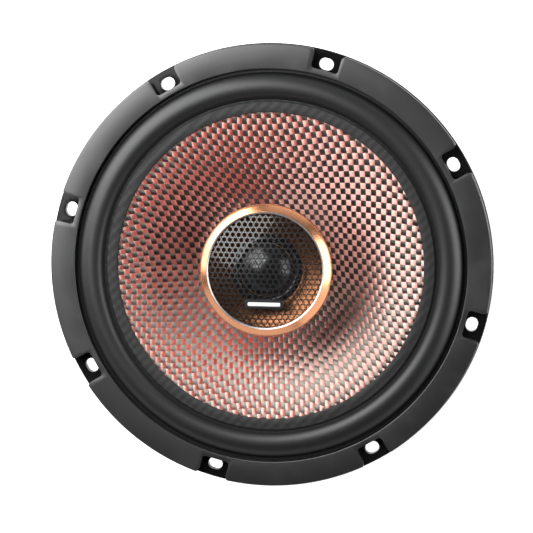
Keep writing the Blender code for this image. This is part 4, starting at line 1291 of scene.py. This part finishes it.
def make_lead(side, word, lug_y):
    """The braided lead that runs from a terminal to the cone."""
    lo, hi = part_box(f"lead_eyelet_{word}")
    eyelet = (lo + hi) / 2 / MM
    down = Vector((side * 0.18, -0.55, -0.82)).normalized()
    route = [(side * 9.7, lug_y + 0.55, 57.0), (side * 10.4, -65.0, 56.6), (side * 10.8, -58.5, 54.8),
        (side * 10.8, -52.0, 51.0), (side * 10.6, -44.0, 47.2), (side * 10.2, -36.0, 46.4),
        eyelet + down * 3.4, eyelet + down * 0.75]
    lead = wire_piece(f"braid_{word}", route, 0.55)
    place_piece(lead, finish("lead_braid"), None, [f"tinsel_lead_{word}"])
    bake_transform(lead)


def make_tweeter_wires(lug_y):
    pot_r = high("tweeter_yoke", "x")
    pot_z = low("tweeter_yoke")
    pot_top = high("tweeter_yoke")
    cap_x, cap_y, cap_z = high("capacitor", "x"), -52.0, 30.2
    floor_z, back_z = pot_z + 0.75, 2.6
    tails = {"positive": [(-0.2, -49.0, 7.0), (-8.0, -49.4, 16.0), (-12.8, -50.6, 24.0),
        (-12.4, -51.8, 28.8), (-cap_x - 0.3, cap_y, cap_z)], "negative": [(-2.0, -49.0, 7.0),
        (-11.2, -49.6, 15.0), (-16.2, -54.0, 26.0), (-17.6, -62.0, 38.0), (-17.8, -65.6, 48.0),
        (-16.6, -66.6, 54.4), (-14.8, -66.6, 57.4), (-12.3, lug_y + 0.6, 57.6)]}
    for side, word, colour in ((1, "positive", "red_insulation"), (-1, "negative", "black_insulation")):
        x = side * 0.78
        route = [(x, 0.3 - pot_r, pot_top - 0.4), (x, 0.3 - pot_r, pot_z + 5.4),
            (x, 0.4 - pot_r, floor_z + 2.1), (x, 1.0 - pot_r, floor_z + 0.6), (x, 2.5 - pot_r, floor_z),
            (x, -6.0, floor_z), (x, -1.4, floor_z - 0.3), (x, 0.0, 63.6), (x, 0.0, 40.0), (x, 0.0, 6.0),
            (x, -1.2, 2.9), (x, -6.0, back_z), (x, -44.0, back_z), (x, -47.6, back_z + 0.3)]
        wire = wire_piece(f"wire_{word}", route + tails[word], 0.6)
        place_piece(wire, finish(colour), FRAME_BODY, [f"tweeter_wire_{word}"])


def make_capacitor(lug_y):
    end_x, radius, y, z = high("capacitor", "x"), 4.5, -52.0, 30.2
    outline = [(0, -end_x + 0.5), (2.6, -end_x + 0.5)]
    outline += rounded([(2.6, -end_x + 0.5, 0), (3.4, -end_x, 0.3), (radius, -end_x, 0.9),
        (radius, -end_x + 2.0, 0.6), (radius - 0.35, -end_x + 2.6, 0.5), (radius, -end_x + 3.2, 0.6),
        (radius, end_x, 0.9), (3.4, end_x, 0.3), (2.6, end_x - 0.5, 0)], 4, False)
    outline += [(0, end_x - 0.5)]
    can = turn("capacitor_can", outline, 64)
    lie_down = Matrix.Rotation(math.radians(90), 4, "Y")
    can.data.transform(Matrix.Translation((0, y * MM, z * MM)) @ lie_down)
    place_piece(can, finish("capacitor_sleeve"), FRAME_BODY, ["capacitor"])
    route = [(end_x + 0.3, y, z), (end_x + 3.0, y - 0.6, z + 0.4), (16.2, -57.0, 36.0),
        (17.2, -63.5, 46.0), (16.6, -66.4, 54.0), (14.8, -66.6, 57.4), (12.6, lug_y + 0.6, 57.6)]
    wire = wire_piece("wire_capacitor", route, 0.6)
    place_piece(wire, finish("red_insulation"), FRAME_BODY, ["capacitor_lead"])


CARRIED_OVER = {"ferrite_magnet": "ferrite", "voice_coil": "coil_windings",
    "tweeter_coil": "coil_windings", "tweeter_former": "former_film", "tweeter_yoke": "zinc_plate",
    "tweeter_magnet": "nickel_plate", "tweeter_top_plate": "zinc_plate", "post_washer": "zinc_plate",
    "post_nut": "zinc_plate", "terminal_board": "phenolic_board",
    "lead_eyelet_positive": "tinned_brass", "lead_eyelet_negative": "tinned_brass",
    "capacitor_glue": "adhesive"}


def finish_carried_nodes():
    """Smooths and finishes the solids that are shown as they are."""
    for name, material in CARRIED_OVER.items():
        node = frame["nodes"][name]
        node.data.materials.clear()
        node.data.materials.append(finish(material))
        node.data.shade_smooth()
        weld = node.modifiers.new("weld", "WELD")
        weld.merge_threshold = 1e-6
        split = node.modifiers.new("split", "EDGE_SPLIT")
        split.split_angle = math.radians(30)


# Stage ----------
def make_stage():
    bpy.ops.object.select_all(action="DESELECT")
    bpy.ops.mesh.primitive_plane_add(size=6.0, location=(0, 0, 0))
    floor = name_it(bpy.context.object, "floor")
    floor.data.materials.append(finish("floor_paper"))
    world = bpy.context.scene.world or bpy.data.worlds.new("studio")
    bpy.context.scene.world = world
    world.use_nodes = True
    backdrop = world.node_tree.nodes["Background"]
    backdrop.inputs["Color"].default_value = (1.0, 1.0, 1.0, 1.0)
    backdrop.inputs["Strength"].default_value = 0.018
    stage = bpy.context.scene.speaker_stage
    soft_box("key_light", 139, 0.3, 0.31, (0.36, 0.46), stage.key_power)
    soft_box("side_light", 5, 0.5, 0.29, (0.42, 0.4), stage.side_power)
    soft_box("left_light", 174, 0.45, 0.16, (0.2, 0.16), 0.36)
    soft_box("back_light", 72, 0.6, 0.2, (0.5, 0.25), 0.36)
    soft_box("low_light", -115, 0.6, 0.22, (1.2, 0.34), stage.low_power)
    soft_box("low_right_light", -42, 0.6, 0.2, (0.5, 0.3), stage.low_power / 1.9)
    make_camera(stage)
    bpy.context.scene.view_settings.view_transform = "Standard"


def soft_box(name, azimuth, distance, height, size, power):
    """A rectangular light that faces the cone."""
    light = bpy.data.lights.new(name, "AREA")
    light.shape = "RECTANGLE"
    light.size, light.size_y = size
    light.energy = power
    turned = math.radians(azimuth)
    place = Vector((distance * math.cos(turned), distance * math.sin(turned), height))
    aim = Vector((0, 0, 0.06)) - place
    holder = bpy.data.objects.new(name, light)
    holder.matrix_world = Matrix.Translation(place) @ aim.to_track_quat("-Z", "Y").to_matrix().to_4x4()
    holder.visible_camera = False
    bpy.context.scene.collection.objects.link(holder)


def make_camera(stage):
    lean, heading = stage.tilt, stage.heading
    aim = Vector((-0.00143, -0.00019, FRONT_Z * MM))
    out = Vector((math.sin(lean) * math.cos(heading), math.sin(lean) * math.sin(heading),
        math.cos(lean)))
    right = Vector((0, 1, 0)).cross(out).normalized()
    up = out.cross(right)
    basis = Matrix((right, up, out)).transposed().to_4x4()
    roll = Matrix.Rotation(math.radians(0.5), 4, "Z")
    camera = bpy.data.cameras.new("camera")
    frame_width = 0.19795
    camera.sensor_width = 36.0
    camera.lens = 36.0 * stage.distance / frame_width
    holder = bpy.data.objects.new("camera", camera)
    holder.matrix_world = Matrix.Translation(aim + out * stage.distance) @ basis @ roll
    bpy.context.scene.collection.objects.link(holder)
    bpy.context.scene.camera = holder


# Operators and panel ----------
def need_bodies():
    missing = [body for body in NEEDED_BODIES if body not in frame["bodies"]]
    if missing:
        raise RuntimeError(f"the packed model has no body named {', '.join(missing)}")


class PieceOperator:
    """What every piece's operator does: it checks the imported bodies, then makes its pieces."""

    def execute(self, context):
        need_bodies()
        self.make()
        return {"FINISHED"}


class SPEAKER_OT_magnet(PieceOperator, bpy.types.Operator):
    """Model the rubber boot, the back plate with its pole and the front plate"""

    bl_idname = "speaker.make_magnet"
    bl_label = "Magnet"
    make = staticmethod(make_magnet)


class SPEAKER_OT_basket(PieceOperator, bpy.types.Operator):
    """Model the basket and its screws"""

    bl_idname = "speaker.make_basket"
    bl_label = "Basket"
    make = staticmethod(make_basket)


class SPEAKER_OT_gasket(PieceOperator, bpy.types.Operator):
    """Model the notched gasket on the flange"""

    bl_idname = "speaker.make_gasket"
    bl_label = "Gasket"
    make = staticmethod(make_gasket)


class SPEAKER_OT_cone(PieceOperator, bpy.types.Operator):
    """Model the cone's shell and its woven yarns"""

    bl_idname = "speaker.make_cone"
    bl_label = "Woven cone"
    make = staticmethod(make_cone)


class SPEAKER_OT_surround(PieceOperator, bpy.types.Operator):
    """Model the half roll that joins the cone to the basket"""

    bl_idname = "speaker.make_surround"
    bl_label = "Surround"
    make = staticmethod(make_surround)


class SPEAKER_OT_former(PieceOperator, bpy.types.Operator):
    """Model the voice coil's former and the spider"""

    bl_idname = "speaker.make_former"
    bl_label = "Former and spider"
    make = staticmethod(make_former_and_spider)


class SPEAKER_OT_tweeter_body(PieceOperator, bpy.types.Operator):
    """Model the tweeter's post, housing and horn"""

    bl_idname = "speaker.make_tweeter_body"
    bl_label = "Tweeter body"
    make = staticmethod(make_tweeter_body)


class SPEAKER_OT_tweeter_front(PieceOperator, bpy.types.Operator):
    """Model the bezel, the perforated grille and the blank badge"""

    bl_idname = "speaker.make_tweeter_front"
    bl_label = "Tweeter front"
    make = staticmethod(make_tweeter_front)


class SPEAKER_OT_tweeter_dome(PieceOperator, bpy.types.Operator):
    """Model the dome and the roll round it"""

    bl_idname = "speaker.make_tweeter_dome"
    bl_label = "Tweeter dome"
    make = staticmethod(make_tweeter_dome)


class SPEAKER_OT_terminals(PieceOperator, bpy.types.Operator):
    """Model the terminal blades and rivets"""

    bl_idname = "speaker.make_terminals"
    bl_label = "Terminals"
    make = staticmethod(make_terminals)


class SPEAKER_OT_wiring(PieceOperator, bpy.types.Operator):
    """Model the leads, the wires and the capacitor"""

    bl_idname = "speaker.make_wiring"
    bl_label = "Wiring"
    make = staticmethod(make_wiring)


class SPEAKER_OT_inner_parts(PieceOperator, bpy.types.Operator):
    """Finish the inner parts that are shown as they are packed"""

    bl_idname = "speaker.finish_inner_parts"
    bl_label = "Inner parts"
    make = staticmethod(finish_carried_nodes)


class SPEAKER_OT_stage(bpy.types.Operator):
    """Set the floor, the lights and the camera"""

    bl_idname = "speaker.make_stage"
    bl_label = "Stage"

    def execute(self, context):
        make_stage()
        return {"FINISHED"}


OPERATORS = (SPEAKER_OT_stage, SPEAKER_OT_magnet, SPEAKER_OT_basket, SPEAKER_OT_gasket, SPEAKER_OT_cone,
    SPEAKER_OT_surround, SPEAKER_OT_former, SPEAKER_OT_tweeter_body, SPEAKER_OT_tweeter_front,
    SPEAKER_OT_tweeter_dome, SPEAKER_OT_terminals, SPEAKER_OT_wiring, SPEAKER_OT_inner_parts)
GROUPS = {"speaker_weave": SpeakerWeaveSettings, "speaker_grille": SpeakerGrilleSettings,
    "speaker_finish": SpeakerFinishSettings, "speaker_stage": SpeakerStageSettings}


class SPEAKER_PT_panel(bpy.types.Panel):
    """Lists the speaker's pieces and settings"""

    bl_idname = "SPEAKER_PT_panel"
    bl_label = "Speaker"
    bl_space_type = "VIEW_3D"
    bl_region_type = "UI"
    bl_category = "Speaker"

    def draw(self, context):
        for operator in OPERATORS:
            self.layout.operator(operator.bl_idname)
        for name, group in GROUPS.items():
            box = self.layout.box()
            for setting in group.__annotations__:
                box.prop(getattr(context.scene, name), setting)


def register():
    for group in GROUPS.values():
        bpy.utils.register_class(group)
    for name, group in GROUPS.items():
        setattr(bpy.types.Scene, name, bpy.props.PointerProperty(type=group))
    for operator in OPERATORS:
        bpy.utils.register_class(operator)
    bpy.utils.register_class(SPEAKER_PT_panel)


def unregister():
    bpy.utils.unregister_class(SPEAKER_PT_panel)
    for operator in reversed(OPERATORS):
        bpy.utils.unregister_class(operator)
    for name in GROUPS:
        delattr(bpy.types.Scene, name)
    for group in reversed(GROUPS.values()):
        bpy.utils.unregister_class(group)


def run_operator(operator):
    group, action = operator.bl_idname.split(".")
    return getattr(getattr(bpy.ops, group), action)()


def main():
    for name in ("Cube", "Camera", "Light"):
        if name in bpy.data.objects:
            bpy.data.objects.remove(bpy.data.objects[name])
    register()
    for operator in OPERATORS:
        run_operator(operator)


if __name__ == "__main__":
    main()
